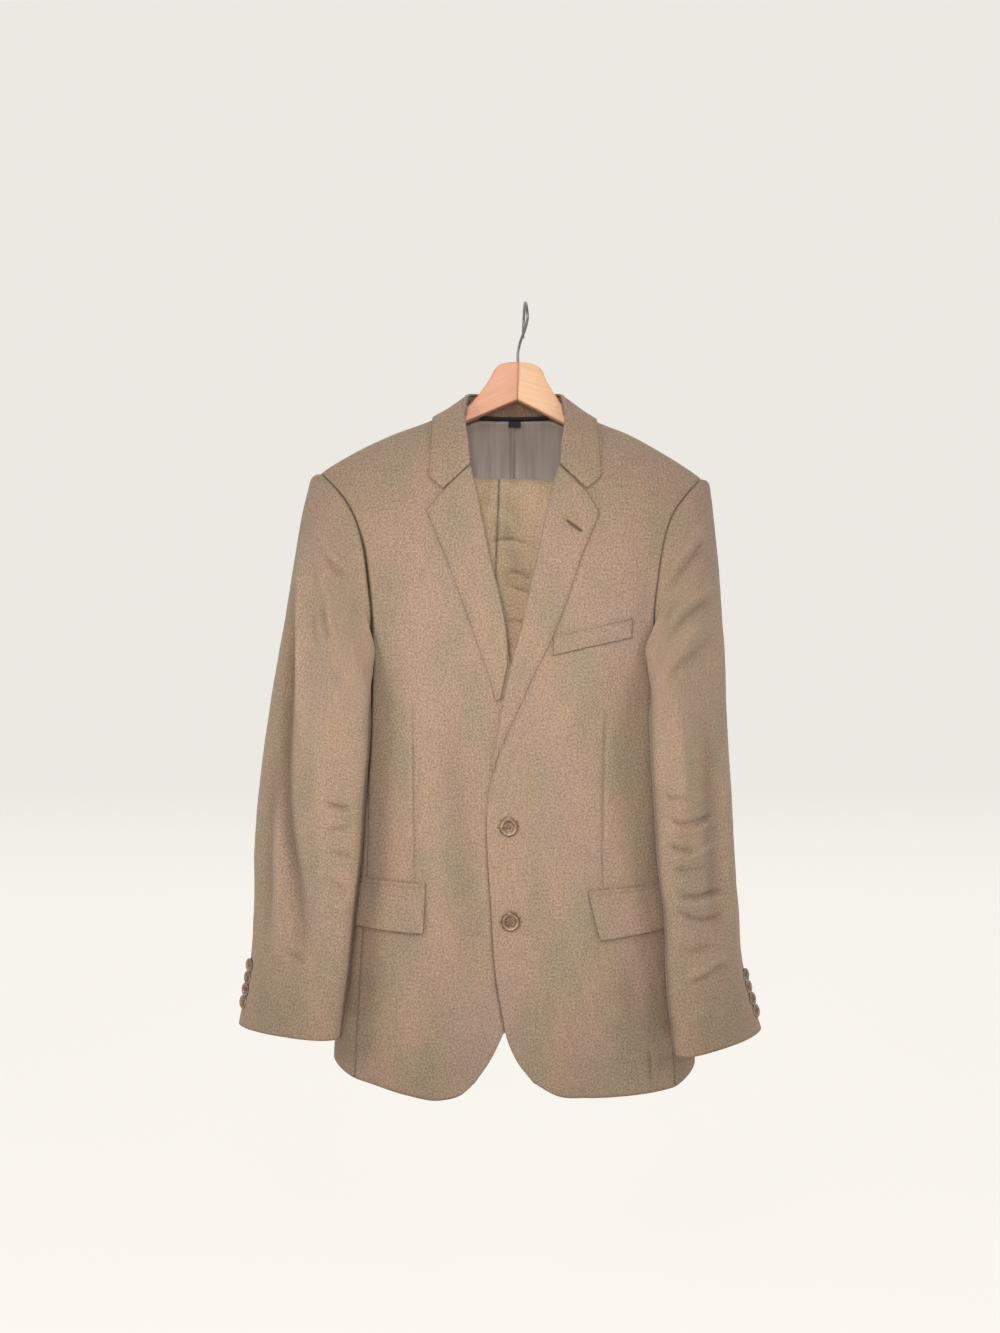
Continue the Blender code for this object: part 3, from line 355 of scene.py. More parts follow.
def mixed(tree: bpy.types.NodeTree, first: Any, second: Any, share: Any, kind: str = "MIX") -> Any:
    """Mix of two colours by a share: the output colour."""
    node = add_node(tree, "ShaderNodeMix", data_type="RGBA", blend_type=kind)
    for socket, value in ((0, share), (6, first), (7, second)):
        if isinstance(value, (float, tuple)):
            node.inputs[socket].default_value = value
        else:
            tree.links.new(value, node.inputs[socket])
    return node.outputs[2]


def grey(level: float) -> tuple[float, float, float, float]:
    """Neutral colour of one linear level."""
    return (level, level, level, 1.0)


def tinted(tree: bpy.types.NodeTree, shade: Any, source: Any, stops: Sequence[Any], share: float) -> Any:
    """A colour multiplied by the colours along a strength: the output colour."""
    return mixed(tree, shade, ramp(tree, source, stops), share, "MULTIPLY")


def bump(tree: bpy.types.NodeTree, height: Any, strength: float, distance: float, under: Any = None) -> Any:
    """Relief of a height in metres, over another relief if one is given: the output normal."""
    links = {"Height": height} if under is None else {"Height": height, "Normal": under}
    return add_node(tree, "ShaderNodeBump", links, Strength=strength, Distance=distance).outputs[0]


def feed(tree: bpy.types.NodeTree, shader: Any, **sources: Any) -> None:
    """Link outputs to the shader's input sockets, named with spaces as underscores."""
    for key, source in sources.items():
        tree.links.new(source, shader.inputs[key.replace("_", " ")])


@dataclass(frozen=True)
class WovenLinen:
    """Tan linen in a fine twill: grainy matte threads, and soft olive and pink drifts down the cloth."""

    name: str = "woven_linen"
    tan: str = "#a38b77"
    olive: str = "#958673"
    rose: str = "#a38a80"
    thread: float = 1.8

    def build(self) -> bpy.types.Material:
        """Make the material, its pattern read from the cloth's own UV map in metres."""
        material, tree, shader = blank(
            self.name, Roughness=0.9, Specular_IOR_Level=0.2, Sheen_Weight=0.12, Sheen_Roughness=0.5
        )
        place = cloth_place(tree)
        # Real threads are about 0.5 mm apart, too fine to show, so the twill is drawn 1.8 mm apart.
        scale = 0.31416 / (self.thread * MM)
        moved = add_node(tree, "ShaderNodeMapping", {"Vector": place}, Scale=(scale, scale, scale)).outputs[0]
        twill = add_node(
            tree, "ShaderNodeTexWave", {"Vector": moved}, bands_direction="DIAGONAL", wave_type="BANDS",
            Scale=1.0, Distortion=2.2, Detail=2.0, Detail_Scale=0.9,
        ).outputs[1]
        grain = drift(tree, place, (520.0, 430.0, 1.0), 2.0)
        warp_slub = drift(tree, place, (420.0, 46.0, 1.0), 2.0)
        weft_slub = drift(tree, place, (44.0, 380.0, 1.0), 2.0)
        patch = drift(tree, place, (22.0, 9.0, 1.0), 2.0)
        warmth = drift(tree, place, (11.0, 7.0, 1.0), 1.0)
        clear = ramp(tree, drift(tree, place, (26.0, 19.0, 1.0), 1.0), ((0.38, grey(0.15)), (0.68, grey(1.0))))
        shade = ramp(tree, patch, ((0.34, colour(self.olive)), (0.64, colour(self.tan))))
        blush = ramp(tree, warmth, ((0.44, grey(0.0)), (0.66, grey(0.55))))
        shade = mixed(tree, shade, colour(self.rose), blush)
        slub = ((0.34, grey(0.89)), (0.68, grey(1.08)))
        shade = tinted(tree, shade, warp_slub, slub, 0.6)
        shade = tinted(tree, shade, weft_slub, slub, 0.45)
        shade = tinted(tree, shade, grain, ((0.3, (0.64, 0.61, 0.57, 1.0)), (0.7, grey(1.36))), 0.8)
        lined = ramp(tree, twill, ((0.2, (0.88, 0.86, 0.84, 1.0)), (0.8, grey(1.09))))
        shade = mixed(tree, shade, mixed(tree, grey(1.0), lined, clear), 0.8, "MULTIPLY")
        # Cloth in a gap or a sharp crease catches little light, so painted shade from a point attribute darkens it
        # there, and painted light makes a ridge paler.
        shading_attribute = add_node(tree, "ShaderNodeAttribute", attribute_name="painted_shading").outputs["Fac"]
        level = add_node(tree, "ShaderNodeMapRange", {"Value": shading_attribute}, From_Min=-1.0, From_Max=1.0).outputs[0]
        stops = ((0.0, (0.12, 0.075, 0.045, 1.0)), (0.25, (0.5, 0.46, 0.42, 1.0)), (0.5, grey(1.0)), (1.0, grey(1.3)))
        crumple = bump(tree, drift(tree, place, (120.0, 62.0, 1.0), 3.0), 0.7, 0.0016)
        feed(
            tree, shader, Base_Color=tinted(tree, shade, level, stops, 1.0),
            Normal=bump(tree, grain, 0.5, 0.0005, crumple),
        )
        return material


@dataclass(frozen=True)
class SatinLining:
    """Grey-mauve acetate satin: smooth, with a soft sheen down its folds."""

    name: str = "acetate_satin"
    shade: str = "#a5978d"
    deep: str = "#988b82"

    def build(self) -> bpy.types.Material:
        """Make the material, with long fine streaks down the cloth."""
        material, tree, shader = blank(self.name, Roughness=0.42, Sheen_Weight=0.25)
        place = cloth_place(tree)
        streak = drift(tree, place, (150.0, 9.0, 1.0), 2.0)
        ripple = drift(tree, place, (700.0, 30.0, 1.0), 2.0)
        feed(
            tree, shader, Base_Color=ramp(tree, streak, ((0.35, colour(self.deep)), (0.65, colour(self.shade)))),
            Normal=bump(tree, ripple, 0.3, 0.0003),
        )
        return material


@dataclass(frozen=True)
class RibbedTape:
    """Near-black cotton tape of the neck piping and label: matte, with fine ribs across it."""

    name: str = "cotton_tape"
    groove: str = "#1c181a"
    shade: str = "#2a2427"

    def build(self) -> bpy.types.Material:
        """Make the material, ribbed along X every millimetre."""
        material, tree, shader = blank(self.name, Roughness=0.8)
        moved = add_node(tree, "ShaderNodeMapping", {"Vector": object_place(tree)}, Scale=(314.0, 314.0, 314.0))
        rib = add_node(
            tree, "ShaderNodeTexWave", {"Vector": moved.outputs[0]}, bands_direction="X", Scale=1.0, Distortion=0.6
        ).outputs[1]
        # Painted shade: the ribs' grooves are darker than their tops.
        feed(
            tree, shader, Base_Color=ramp(tree, rib, ((0.2, colour(self.groove)), (0.8, colour(self.shade)))),
            Normal=bump(tree, rib, 0.4, 0.0002),
        )
        return material


@dataclass(frozen=True)
class PolishedHorn:
    """Brown buffalo horn: polished, with cloudy veins, a painted highlight on its rim and painted shade in its grooves
    and holes.
    """

    name: str = "polished_horn"
    dark: str = "#6a523e"
    body: str = "#846852"
    vein: str = "#9b7f66"

    def build(self) -> bpy.types.Material:
        """Make the material, its veins some millimetres long."""
        material, tree, shader = blank(self.name, Roughness=0.3, Coat_Weight=0.35, Coat_Roughness=0.15)
        cloud = drift(tree, object_place(tree), (110.0, 110.0, 190.0), 2.0)
        shade = ramp(tree, cloud, ((0.36, colour(self.dark)), (0.52, colour(self.body)), (0.68, colour(self.vein))))
        # On the lathe-turned horn, painted shade darkens the grooves, the sewing holes and the outer edge, and a
        # painted highlight makes the rim paler.
        turned = add_node(tree, "ShaderNodeUVMap", uv_map="turned").outputs[0]
        radius = add_node(tree, "ShaderNodeVectorMath", {0: turned}, operation="LENGTH").outputs["Value"]
        rings = ((0.46, 1.0), (0.54, 0.4), (0.62, 0.5), (0.7, 1.5), (0.84, 1.5), (0.93, 0.6), (1.0, 0.22))
        shade = tinted(tree, shade, radius, [(at, grey(level)) for at, level in rings], 1.0)
        quarter = add_node(tree, "ShaderNodeVectorMath", {0: turned}, operation="ABSOLUTE").outputs[0]
        hole = add_node(tree, "ShaderNodeVectorMath", {0: quarter}, operation="SUBTRACT")
        hole.inputs[1].default_value = (0.15, 0.15, 0.0)
        gap = add_node(tree, "ShaderNodeVectorMath", {0: hole.outputs[0]}, operation="LENGTH").outputs["Value"]
        sewn = ((0.08, (0.12, 0.1, 0.08, 1.0)), (0.13, grey(1.0)))
        feed(tree, shader, Base_Color=tinted(tree, shade, gap, sewn, 1.0))
        return material


@dataclass(frozen=True)
class LacqueredBeech:
    """Lacquered wood of one arm of the hanger: fine grain lines along the arm and a soft clear coat."""

    name: str
    light: str
    dark: str
    slope: float

    def build(self) -> bpy.types.Material:
        """Make the material, its grain turned along the arm."""
        material, tree, shader = blank(self.name, Roughness=0.42, Coat_Weight=0.25, Coat_Roughness=0.25)
        turn = (0.0, math.radians(self.slope), 0.0)
        turned = add_node(tree, "ShaderNodeMapping", {"Vector": object_place(tree)}, Rotation=turn).outputs[0]
        # Growth lines lie about 3 mm apart and fade in and out along the arm.
        grain = drift(tree, turned, (9.0, 60.0, 330.0), 4.0)
        fleck = drift(tree, turned, (60.0, 300.0, 1500.0), 2.0)
        tone = drift(tree, turned, (6.0, 6.0, 30.0), 1.0)
        shade = ramp(tree, grain, ((0.30, colour(self.dark)), (0.56, colour(self.light))))
        shade = tinted(tree, shade, fleck, ((0.3, (0.93, 0.91, 0.88, 1.0)), (0.6, grey(1.0))), 0.8)
        shade = tinted(tree, shade, tone, ((0.3, (0.95, 0.94, 0.92, 1.0)), (0.7, (1.03, 1.02, 1.0, 1.0))), 1.0)
        feed(tree, shader, Base_Color=shade, Normal=bump(tree, fleck, 0.15, 0.0002))
        return material


@dataclass(frozen=True)
class ChromedWire:
    """Chromed steel wire: bright, with faint draw marks round it."""

    name: str = "chromed_wire"
    shade: str = "#8e8d8a"

    def build(self) -> bpy.types.Material:
        """Make the material, its draw marks in the roughness."""
        material, tree, shader = blank(self.name, Base_Color=colour(self.shade), Metallic=1.0)
        mark = drift(tree, object_place(tree), (300.0, 300.0, 60.0), 2.0)
        level = add_node(
            tree, "ShaderNodeMapRange", {"Value": mark}, From_Min=0.3, From_Max=0.7, To_Min=0.34, To_Max=0.42
        )
        feed(tree, shader, Roughness=level.outputs[0])
        return material


@dataclass(frozen=True)
class SewingThread:
    """Mercerised thread of stitches and buttonholes: a little darker than the linen, twisted."""

    name: str = "sewing_thread"
    dark: str = "#80664c"
    shade: str = "#94795e"

    def build(self) -> bpy.types.Material:
        """Make the material, mottled by the thread's twist."""
        material, tree, shader = blank(self.name, Roughness=0.7)
        twist = drift(tree, object_place(tree), (1500.0, 1500.0, 1500.0), 1.0)
        feed(tree, shader, Base_Color=ramp(tree, twist, ((0.3, colour(self.dark)), (0.7, colour(self.shade)))))
        return material


@dataclass(frozen=True)
class PaleFloor:
    """Off-white studio floor, lit from within behind the suit, that fades out far behind it."""

    name: str = "lit_floor"
    shade: str = "#8f8c88"
    glow: str = "#f8f5ef"
    power: float = 0.80
    near: float = 2.0
    far: float = 7.0

    def build(self) -> bpy.types.Material:
        """Make the material, clear beyond its far edge."""
        material, tree, shader = blank(
            self.name, Base_Color=colour(self.shade), Roughness=0.9, Emission_Color=colour(self.glow)
        )
        back = add_node(tree, "ShaderNodeSeparateXYZ", {0: object_place(tree)}).outputs["Y"]
        steps = {"interpolation_type": "SMOOTHSTEP"}
        gone = add_node(
            tree, "ShaderNodeMapRange", {"Value": back}, From_Min=self.near, From_Max=self.far, To_Min=1.0,
            To_Max=0.0, **steps,
        )
        lit = add_node(
            tree, "ShaderNodeMapRange", {"Value": back}, From_Min=-2.5, From_Max=0.15, To_Min=0.15,
            To_Max=self.power, **steps,
        )
        feed(tree, shader, Alpha=gone.outputs[0], Emission_Strength=lit.outputs[0])
        return material


@dataclass
class Wardrobe:
    """Every finish, built once."""

    linen: Any = field(default_factory=WovenLinen().build)
    # Painted light: a brighter copy of the linen for the trousers, which hang in shade deep behind the lapels.
    trouser_linen_painted_light: Any = field(
        default_factory=WovenLinen("woven_linen_trousers_painted_light", "#c3a68a", "#b4a187", "#c2a596").build
    )
    lining: Any = field(default_factory=SatinLining().build)
    tape: Any = field(default_factory=RibbedTape().build)
    horn: Any = field(default_factory=PolishedHorn().build)
    wood_left: Any = field(default_factory=LacqueredBeech("beech_left", "#eaac8a", "#e2a07c", 26.0).build)
    wood_right: Any = field(default_factory=LacqueredBeech("beech_right", "#fac9a0", "#f1bb90", -16.0).build)
    wire: Any = field(default_factory=ChromedWire().build)
    thread: Any = field(default_factory=SewingThread().build)


# Mesh making


def linked(name: str, data: Any) -> bpy.types.Object:
    """New object with its data, in the scene."""
    obj = bpy.data.objects.new(name, data)
    bpy.context.collection.objects.link(obj)
    return obj


def cells(grid: Array) -> Array:
    """Values at the four corners of each of a grid's cells, in turn."""
    return np.stack([grid[:-1, :-1], grid[:-1, 1:], grid[1:, 1:], grid[1:, :-1]], axis=2)


def surface_normals(points: Array, aim: Sequence[float]) -> Array:
    """Unit normals of a grid, turned away from a point inside."""
    normal = np.cross(np.gradient(points, axis=1), np.gradient(points, axis=0))
    normal /= np.maximum(np.linalg.norm(normal, axis=-1, keepdims=True), 1e-9)
    outward = np.sum(normal * (points - np.asarray(aim, float)))
    return normal if outward > 0 else -normal


def edge_distances(points: Array) -> dict[str, Array]:
    """Distance in millimetres of each grid point from each edge, along the grid's lines."""
    across = np.linalg.norm(np.diff(points, axis=1), axis=-1)
    down = np.linalg.norm(np.diff(points, axis=0), axis=-1)
    left = np.concatenate([np.zeros((len(points), 1)), np.cumsum(across, axis=1)], axis=1)
    top = np.concatenate([np.zeros((1, points.shape[1])), np.cumsum(down, axis=0)], axis=0)
    return {"left": left, "right": left[:, -1:] - left, "top": top, "bottom": top[-1:] - top}


def seam_dip(points: Array, seams: dict[str, float], width: float = 2.4) -> Array:
    """How far a panel's edges roll in at its seams.

    Args:
        points: The panel's grid.
        seams: Depth of the roll at each edge that has one, in millimetres.
        width: Width of the roll.

    Returns:
        A depth at each grid point.
    """
    gaps = edge_distances(points)
    total = np.zeros(points.shape[:2])
    for edge, depth in seams.items():
        total += depth * bell(gaps[edge] / width)
    return total


def tucked(points: Array, grain: Array | None, normals: Array, edge: str) -> tuple[Array, Array | None]:
    """Add a row or column along an edge that turns in, as a seam allowance.

    Args:
        points: The panel's grid.
        grain: The weave's place at each point, if it has its own.
        normals: The grid's outward normals.
        edge: The edge's name.

    Returns:
        The longer grid and its weave.
    """
    first = edge in ("top", "left")
    axis = 0 if edge in ("top", "bottom") else 1
    at, inner = (0, 1) if first else (-1, -2)
    line, near, normal = (np.take(grid, k, axis=axis) for grid, k in ((points, at), (points, inner), (normals, at)))
    way = line - near
    way /= np.maximum(np.linalg.norm(way, axis=-1, keepdims=True), 1e-6)
    turned = np.expand_dims(line - normal * 2.4 + way * 0.5, axis)
    points = np.concatenate([turned, points] if first else [points, turned], axis=axis)
    if grain is not None:
        copy = np.expand_dims(np.take(grain, at, axis=axis), axis)
        grain = np.concatenate([copy, grain] if first else [grain, copy], axis=axis)
    return points, grain


@dataclass
class Cloth:
    """Attributes:
        wardrobe: The finishes.
        shade: Painted shade of a crease for each millimetre of its depth, and painted light on a ridge for each
            millimetre of its height.
        edge_shade: Painted shade along a piece's edges, where it meets the next.
        edge_reach: Width of that painted shade in millimetres.
        tuck_shade: Level of painted shade on an edge that turns in.
    """

    wardrobe: Wardrobe
    shade: float = 0.05
    edge_shade: float = 0.24
    edge_reach: float = 0.9
    tuck_shade: float = -0.4

    def make(
        self, name: str, points: Array, aim: Sequence[float], nodes: Sequence[str], thickness: float = 1.0,
        relief: Array | None = None, outside: Any = None, inside: Any = None, rests_on: Sequence[str] = ("hanger",),
        slot: str = "linen", held: str = "hung", ring: bool = False, grain: Array | None = None,
        tuck: Sequence[str] = (), painted_shading: Array | float = 0.0,
    ) -> None:
        """Build a sheet of cloth.

        Args:
            name: The piece's name.
            points: Grid of points in millimetres, rows from the top.
            aim: A point inside, which the wall grows towards.
            nodes: CAD nodes that it replaces.
            thickness: The cloth's thickness in millimetres.
            relief: How far each point moves out.
            outside: Finish of the outer face and the edges; linen if not given.
            inside: Finish of the inner face; linen if not given.
            rests_on: What carries it; not used.
            slot: Material slot of the record; not used.
            held: How the cloth is held; not used.
            ring: Whether the last column meets the first.
            grain: The weave's place at each grid point in millimetres; the front view's x and z if not given.
            tuck: Edges that turn in under their neighbour, as a seam allowance.
            painted_shading: Painted shade at each point where it lies in a gap, below nought, and painted light above
                nought, besides its creases.
        """
        ends = edge_distances(points)
        nearest = np.minimum(ends["top"], ends["bottom"])
        if not ring:
            nearest = np.minimum(nearest, np.minimum(ends["left"], ends["right"]))
        # Painted shade: each point's level, darker along the edges, on turned-in edges and in creases and lighter on
        # ridges, goes into a point attribute that the linen's material reads.
        depth = painted_shading - self.edge_shade * bell(nearest / self.edge_reach)
        if relief is not None:
            points = points + surface_normals(points, aim) * relief[..., None]
            depth = depth + self.shade * relief
        for edge in tuck:
            points, grain = tucked(points, grain, surface_normals(points, aim), edge)
            added = int(edge in ("top", "left")), int(edge in ("bottom", "right"))
            sides = (added, (0, 0)) if edge in ("top", "bottom") else ((0, 0), added)
            depth = np.pad(depth, sides, constant_values=self.tuck_shade)
        rows, columns = points.shape[:2]
        own = columns - ring
        index = np.arange(rows * own).reshape(rows, own)
        if ring:
            index = np.concatenate([index, index[:, :1]], axis=1)
        quads, corners = cells(index), cells(points)
        loops = cells((points[..., ::2] if grain is None else grain) * MM)
        facing = np.cross(corners[:, :, 1] - corners[:, :, 3], corners[:, :, 2] - corners[:, :, 0])
        if np.sum(facing * (corners.mean(axis=2) - np.asarray(aim, float))) < 0:
            quads, loops = quads[..., ::-1], loops[:, :, ::-1]
        mesh = bpy.data.meshes.new(name)
        mesh.from_pydata((points[:, :own].reshape(-1, 3) * MM).tolist(), [], quads.reshape(-1, 4).tolist())
        shading_attribute = mesh.attributes.new("painted_shading", "FLOAT", "POINT")
        shading_attribute.data.foreach_set("value", np.clip(depth[:, :own], -1, 1).reshape(-1).astype(np.float32))
        layer = mesh.uv_layers.new(name="cloth")
        layer.data.foreach_set("uv", loops.reshape(-1))
        mesh.shade_smooth()
        mesh.update()
        mesh.materials.append(outside or self.wardrobe.linen)
        mesh.materials.append(inside or self.wardrobe.linen)
        obj = linked(name, mesh)
        wall = obj.modifiers.new("wall", "SOLIDIFY")
        wall.thickness = thickness * MM
        wall.offset = -1.0
        wall.material_offset = 1
        wall.use_rim = True
        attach(obj, "root")
        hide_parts(*nodes)


# The jacket's form


@dataclass(frozen=True)
class JacketForm:
    """The jacket's hanging form: sections, shoulder line and armholes, in millimetres.

    Attributes:
        centre_x: x of the jacket's middle.
        seam_xi: Share of the half width at which the side body's seams lie.
        corner: How round a section's corners are.
        chest_z: Height below which the sides hang back.
        swing: How far they do so.
        crest_depth: Height over which the shoulders round off.
        lift: How far the right front lies before the left.
        arm_front: Angle round the armhole at the side body's front seam.
        arm_back: The same at its back seam.
        body: Height, half width, depth of the front, depth of the back.
        shoulder: Shoulder line seen from the front, with the open neck bridged.
        armhole: Angle round the loop, x, z. It runs from the shoulder down the front, under the arm and up the back.
    """

    centre_x: float = -12.0
    seam_xi: float = 0.86
    corner: float = 0.55
    chest_z: float = -200.0
    swing: float = 22.0
    crest_depth: float = 110.0
    lift: float = 3.2
    arm_front: float = 180.0
    arm_back: float = 230.0
    side_hem: dict[Side, float] = per_side(-880.0, -890.0)
    back_hem: float = -846.0
    body: Table = (
        (-90, 246, 54, 46), (-200, 246, 56, 50), (-300, 232, 57, 52), (-410, 202, 56, 50), (-500, 194, 54, 48),
        (-620, 194, 51, 45), (-760, 204, 47, 42), (-900, 212, 42, 40),
    )
    shoulder: Table = (
        (-270, -226), (-233, -193), (-197, -171), (-153, -150), (-105, -132), (-76, -117), (-40, -103), (-12, -100),
        (16, -103), (54, -119), (81, -134), (118, -149), (153, -168), (201, -199), (240, -232),
    )
    armhole: dict[Side, Table] = per_side(
        (
            (0, -233, -193), (25, -207, -220), (50, -190, -247), (75, -180, -281), (100, -175, -322),
            (130, -172, -362), (157, -177, -391), (180, -185, -405), (205, -205, -412), (230, -187, -404),
            (262, -184, -362), (300, -193, -290), (340, -215, -222), (360, -233, -193),
        ),
        (
            (0, 201, -199), (25, 177, -225), (50, 161, -249), (75, 152, -279), (100, 146, -321), (130, 143, -362),
            (157, 150, -391), (180, 162, -405), (205, 182, -412), (230, 162, -404), (262, 160, -362),
            (300, 166, -290), (340, 186, -226), (360, 201, -199),
        ),
    )
    front_creases: tuple[Crease, ...] = ()
    back_creases: tuple[Crease, ...] = ()
    front_strength: float = 2.7
    back_strength: float = 2.4

    def row(self, z: Array) -> Array:
        """Half width, front depth and back depth of the body at a height."""
        rows = np.asarray(self.body, float)
        return np.moveaxis(spline(-rows[:, 0], rows[:, 1:], -np.asarray(z, float)), -1, 0)

    def ridge(self, x: Array) -> Array:
        """Height of the shoulder line."""
        rows = np.asarray(self.shoulder, float)
        return spline(rows[:, 0], rows[:, 1], x)

    def sway(self, z: Array) -> Array:
        """How far the sides of the body hang back at a height."""
        return self.swing * smoothstep((self.chest_z - z) / 200)

    def depth(self, x: Array, z: Array, face: Face) -> Array:
        """Depth of the smooth outer surface, on the front or the back."""
        half, front, back = self.row(z)
        xi = np.clip(np.abs(x - self.centre_x) / half, 0.0, 1.0)
        reach = front if face is Face.FRONT else back
        below = np.clip((self.ridge(x) - z) / self.crest_depth, 0.0, 1.0)
        crest = np.sqrt(1 - (1 - below) ** 2)
        return self.sway(z) * xi**4 + face.value * reach * (1 - xi**3) ** self.corner * crest

    def facing(self, x: Array, z: Array) -> Array:
        """1 where the body faces the front or the back, and 0 where it turns to its side."""
        return 1 - smoothstep((np.abs(x - self.centre_x) / self.row(z)[0] - 0.78) / 0.14)

    def crumple(self, x: Array, z: Array, seed: int) -> Array:
        """Fine uneven surface of hung linen, in millimetres."""
        return (
            0.35 * soft_noise(x, z, 34, 80, seed) + 0.2 * soft_noise(x, z, 15, 30, seed + 1)
            + 0.1 * soft_noise(x, z, 7, 9, seed + 2)
        )

    def relief(self, x: Array, z: Array, face: Face) -> Array:
        """How far the creases of the fronts or the backs stand out, below the shoulder line."""
        creases, strength, seed = self.front_creases, self.front_strength, 3
        if face is Face.BACK:
            creases, strength, seed = self.back_creases, self.back_strength, 17
        settle = smoothstep((self.ridge(x) - z) / 40)
        return (strength * creased(creases, x, z) + self.crumple(x, z, seed)) * settle

    def front(self, side: Side, x: Array, z: Array) -> Array:
        """Depth of a front's outer surface with its creases; the right front laps over the left."""
        y = self.depth(x, z, Face.FRONT)
        if side is Side.RIGHT:
            y = y - self.lift * smoothstep((75 - x) / 60) * smoothstep((-330 - z) / 55)
        return y - self.relief(x, z, Face.FRONT) * self.facing(x, z)

    def side_point(self, side: Side, angle: Array, z: Array) -> Array:
        """Point round the side of the body: 90 degrees is its front, 0 its side, -90 its back."""
        half, front, back = self.row(z)
        cosine, sine = np.cos(np.radians(angle)), np.sin(np.radians(angle))
        x = self.centre_x + side.sign * half * np.abs(cosine) ** (2 / 3)
        depth = np.where(sine > 0, front, back)
        sway = self.sway(z) * np.abs(cosine) ** (8 / 3)
        return xyz(x, sway - np.sign(sine) * depth * np.abs(sine) ** 1.1, z + 0 * x)

    @property
    def seam_angle(self) -> float:
        """Angle round the side at which the side body's seams lie."""
        return math.degrees(math.acos(self.seam_xi**1.5))

    def seam_x(self, side: Side, z: Array) -> Array:
        """x of the side body's seams at a height."""
        return self.centre_x + side.sign * self.seam_xi * self.row(z)[0]

    def armhole_xz(self, side: Side, angle: Array) -> Array:
        """x and z of the armhole loop."""
        rows = np.asarray(self.armhole[side], float)
        return spline(rows[:, 0], rows[:, 1:], angle)

    def armhole_point(self, side: Side, angle: Array) -> Array:
        """Point of the armhole loop on the body's surface."""
        plane = self.armhole_xz(side, angle)
        x, z = plane[..., 0], plane[..., 1]
        middle = (self.arm_front + self.arm_back) / 2
        y = np.where(angle < middle, self.depth(x, z, Face.FRONT), self.depth(x, z, Face.BACK))
        flat = xyz(x, y, z)
        share = np.clip((angle - self.arm_front) / (self.arm_back - self.arm_front), 0, 1)
        under = self.side_point(side, self.seam_angle * (1 - 2 * share), z)
        inside = (angle >= self.arm_front) & (angle <= self.arm_back)
        return np.where(inside[..., None], under, flat)

    def push_clear(self, points: Array, room: Array) -> Array:
        """Points pushed out of the body until they stand clear of its sides."""
        points = points.copy()
        for _ in range(4):
            x, y, z = points[..., 0], points[..., 1], points[..., 2]
            half, front, back = self.row(z)
            xi = np.clip((x - self.centre_x) / half, -1.3, 1.3)
            swing = self.sway(z) * np.minimum(np.abs(xi), 1.0) ** 4
            depth = np.where(y < swing, front, back)
            eta = (y - swing) / depth
            level = np.abs(xi) ** 3 + np.abs(eta) ** 1.82
            way_x = 3 * xi**2 * np.sign(xi) / half
            way_y = 1.82 * np.abs(eta) ** 0.82 * np.sign(eta) / depth
            size = np.maximum(np.hypot(way_x, way_y), 1e-4)
            short = np.maximum(room - (level - 1) / size, 0.0) * smoothstep((-345 - z) / 55)
            points[..., 0] += short * way_x / size
            points[..., 1] += short * way_y / size
        return points

    def distance(self, points: Array) -> tuple[Array, Array, Array]:
        """Distance outside the body's surface, and the way out in y and z."""
        x, y, z = points[..., 0], points[..., 1], points[..., 2]
        half, front, back = self.row(z)
        xi = np.clip(np.abs(x - self.centre_x) / half, 0.0, 1.0)
        swing = self.sway(z) * xi**4
        depth = np.where(y < swing, front, back) * (1 - xi**3) ** self.corner
        rise = np.maximum(1 - (self.ridge(x) - z) / self.crest_depth, 0.0)
        out = (y - swing) / depth
        r = np.sqrt(rise**2 + out**2)
        gy, gz = out / (r * depth), rise / (r * self.crest_depth)
        size = np.sqrt(gy**2 + gz**2)
        return (r - 1) / size, gy / size, gz / size

    def moved_out(self, points: Array, distance: Array) -> Array:
        """Points moved along y and z until they lie at a distance outside the body."""
        points = points.copy()
        for _ in range(4):
            now, way_y, way_z = self.distance(points)
            points[..., 1] += (distance - now) * way_y
            points[..., 2] += (distance - now) * way_z
        return points


CORE = {Side.LEFT: (-60.0, 0.0, -480.0), Side.RIGHT: (40.0, 0.0, -480.0)}
ROLL_LINE = {
    Side.LEFT: (
        (-60.5, -193), (-52, -232), (-43, -275), (-35, -311), (-26, -348), (-21, -380), (-20, -408), (-28, -450),
    ),
    Side.RIGHT: (
        (36, -193), (30, -211), (22, -243), (14, -283), (7, -315), (1, -339), (-4, -365), (-17, -414), (-26, -459),
        (-32, -496), (-38, -528),
    ),
}


def panel_rows(count: int) -> Array:
    """Shares down a front or back: close together over the shoulder's turn, then even."""
    return np.concatenate([(0, 0.0006, 0.0018, 0.004, 0.007, 0.011, 0.016, 0.022, 0.029), np.linspace(0.037, 1, count)])


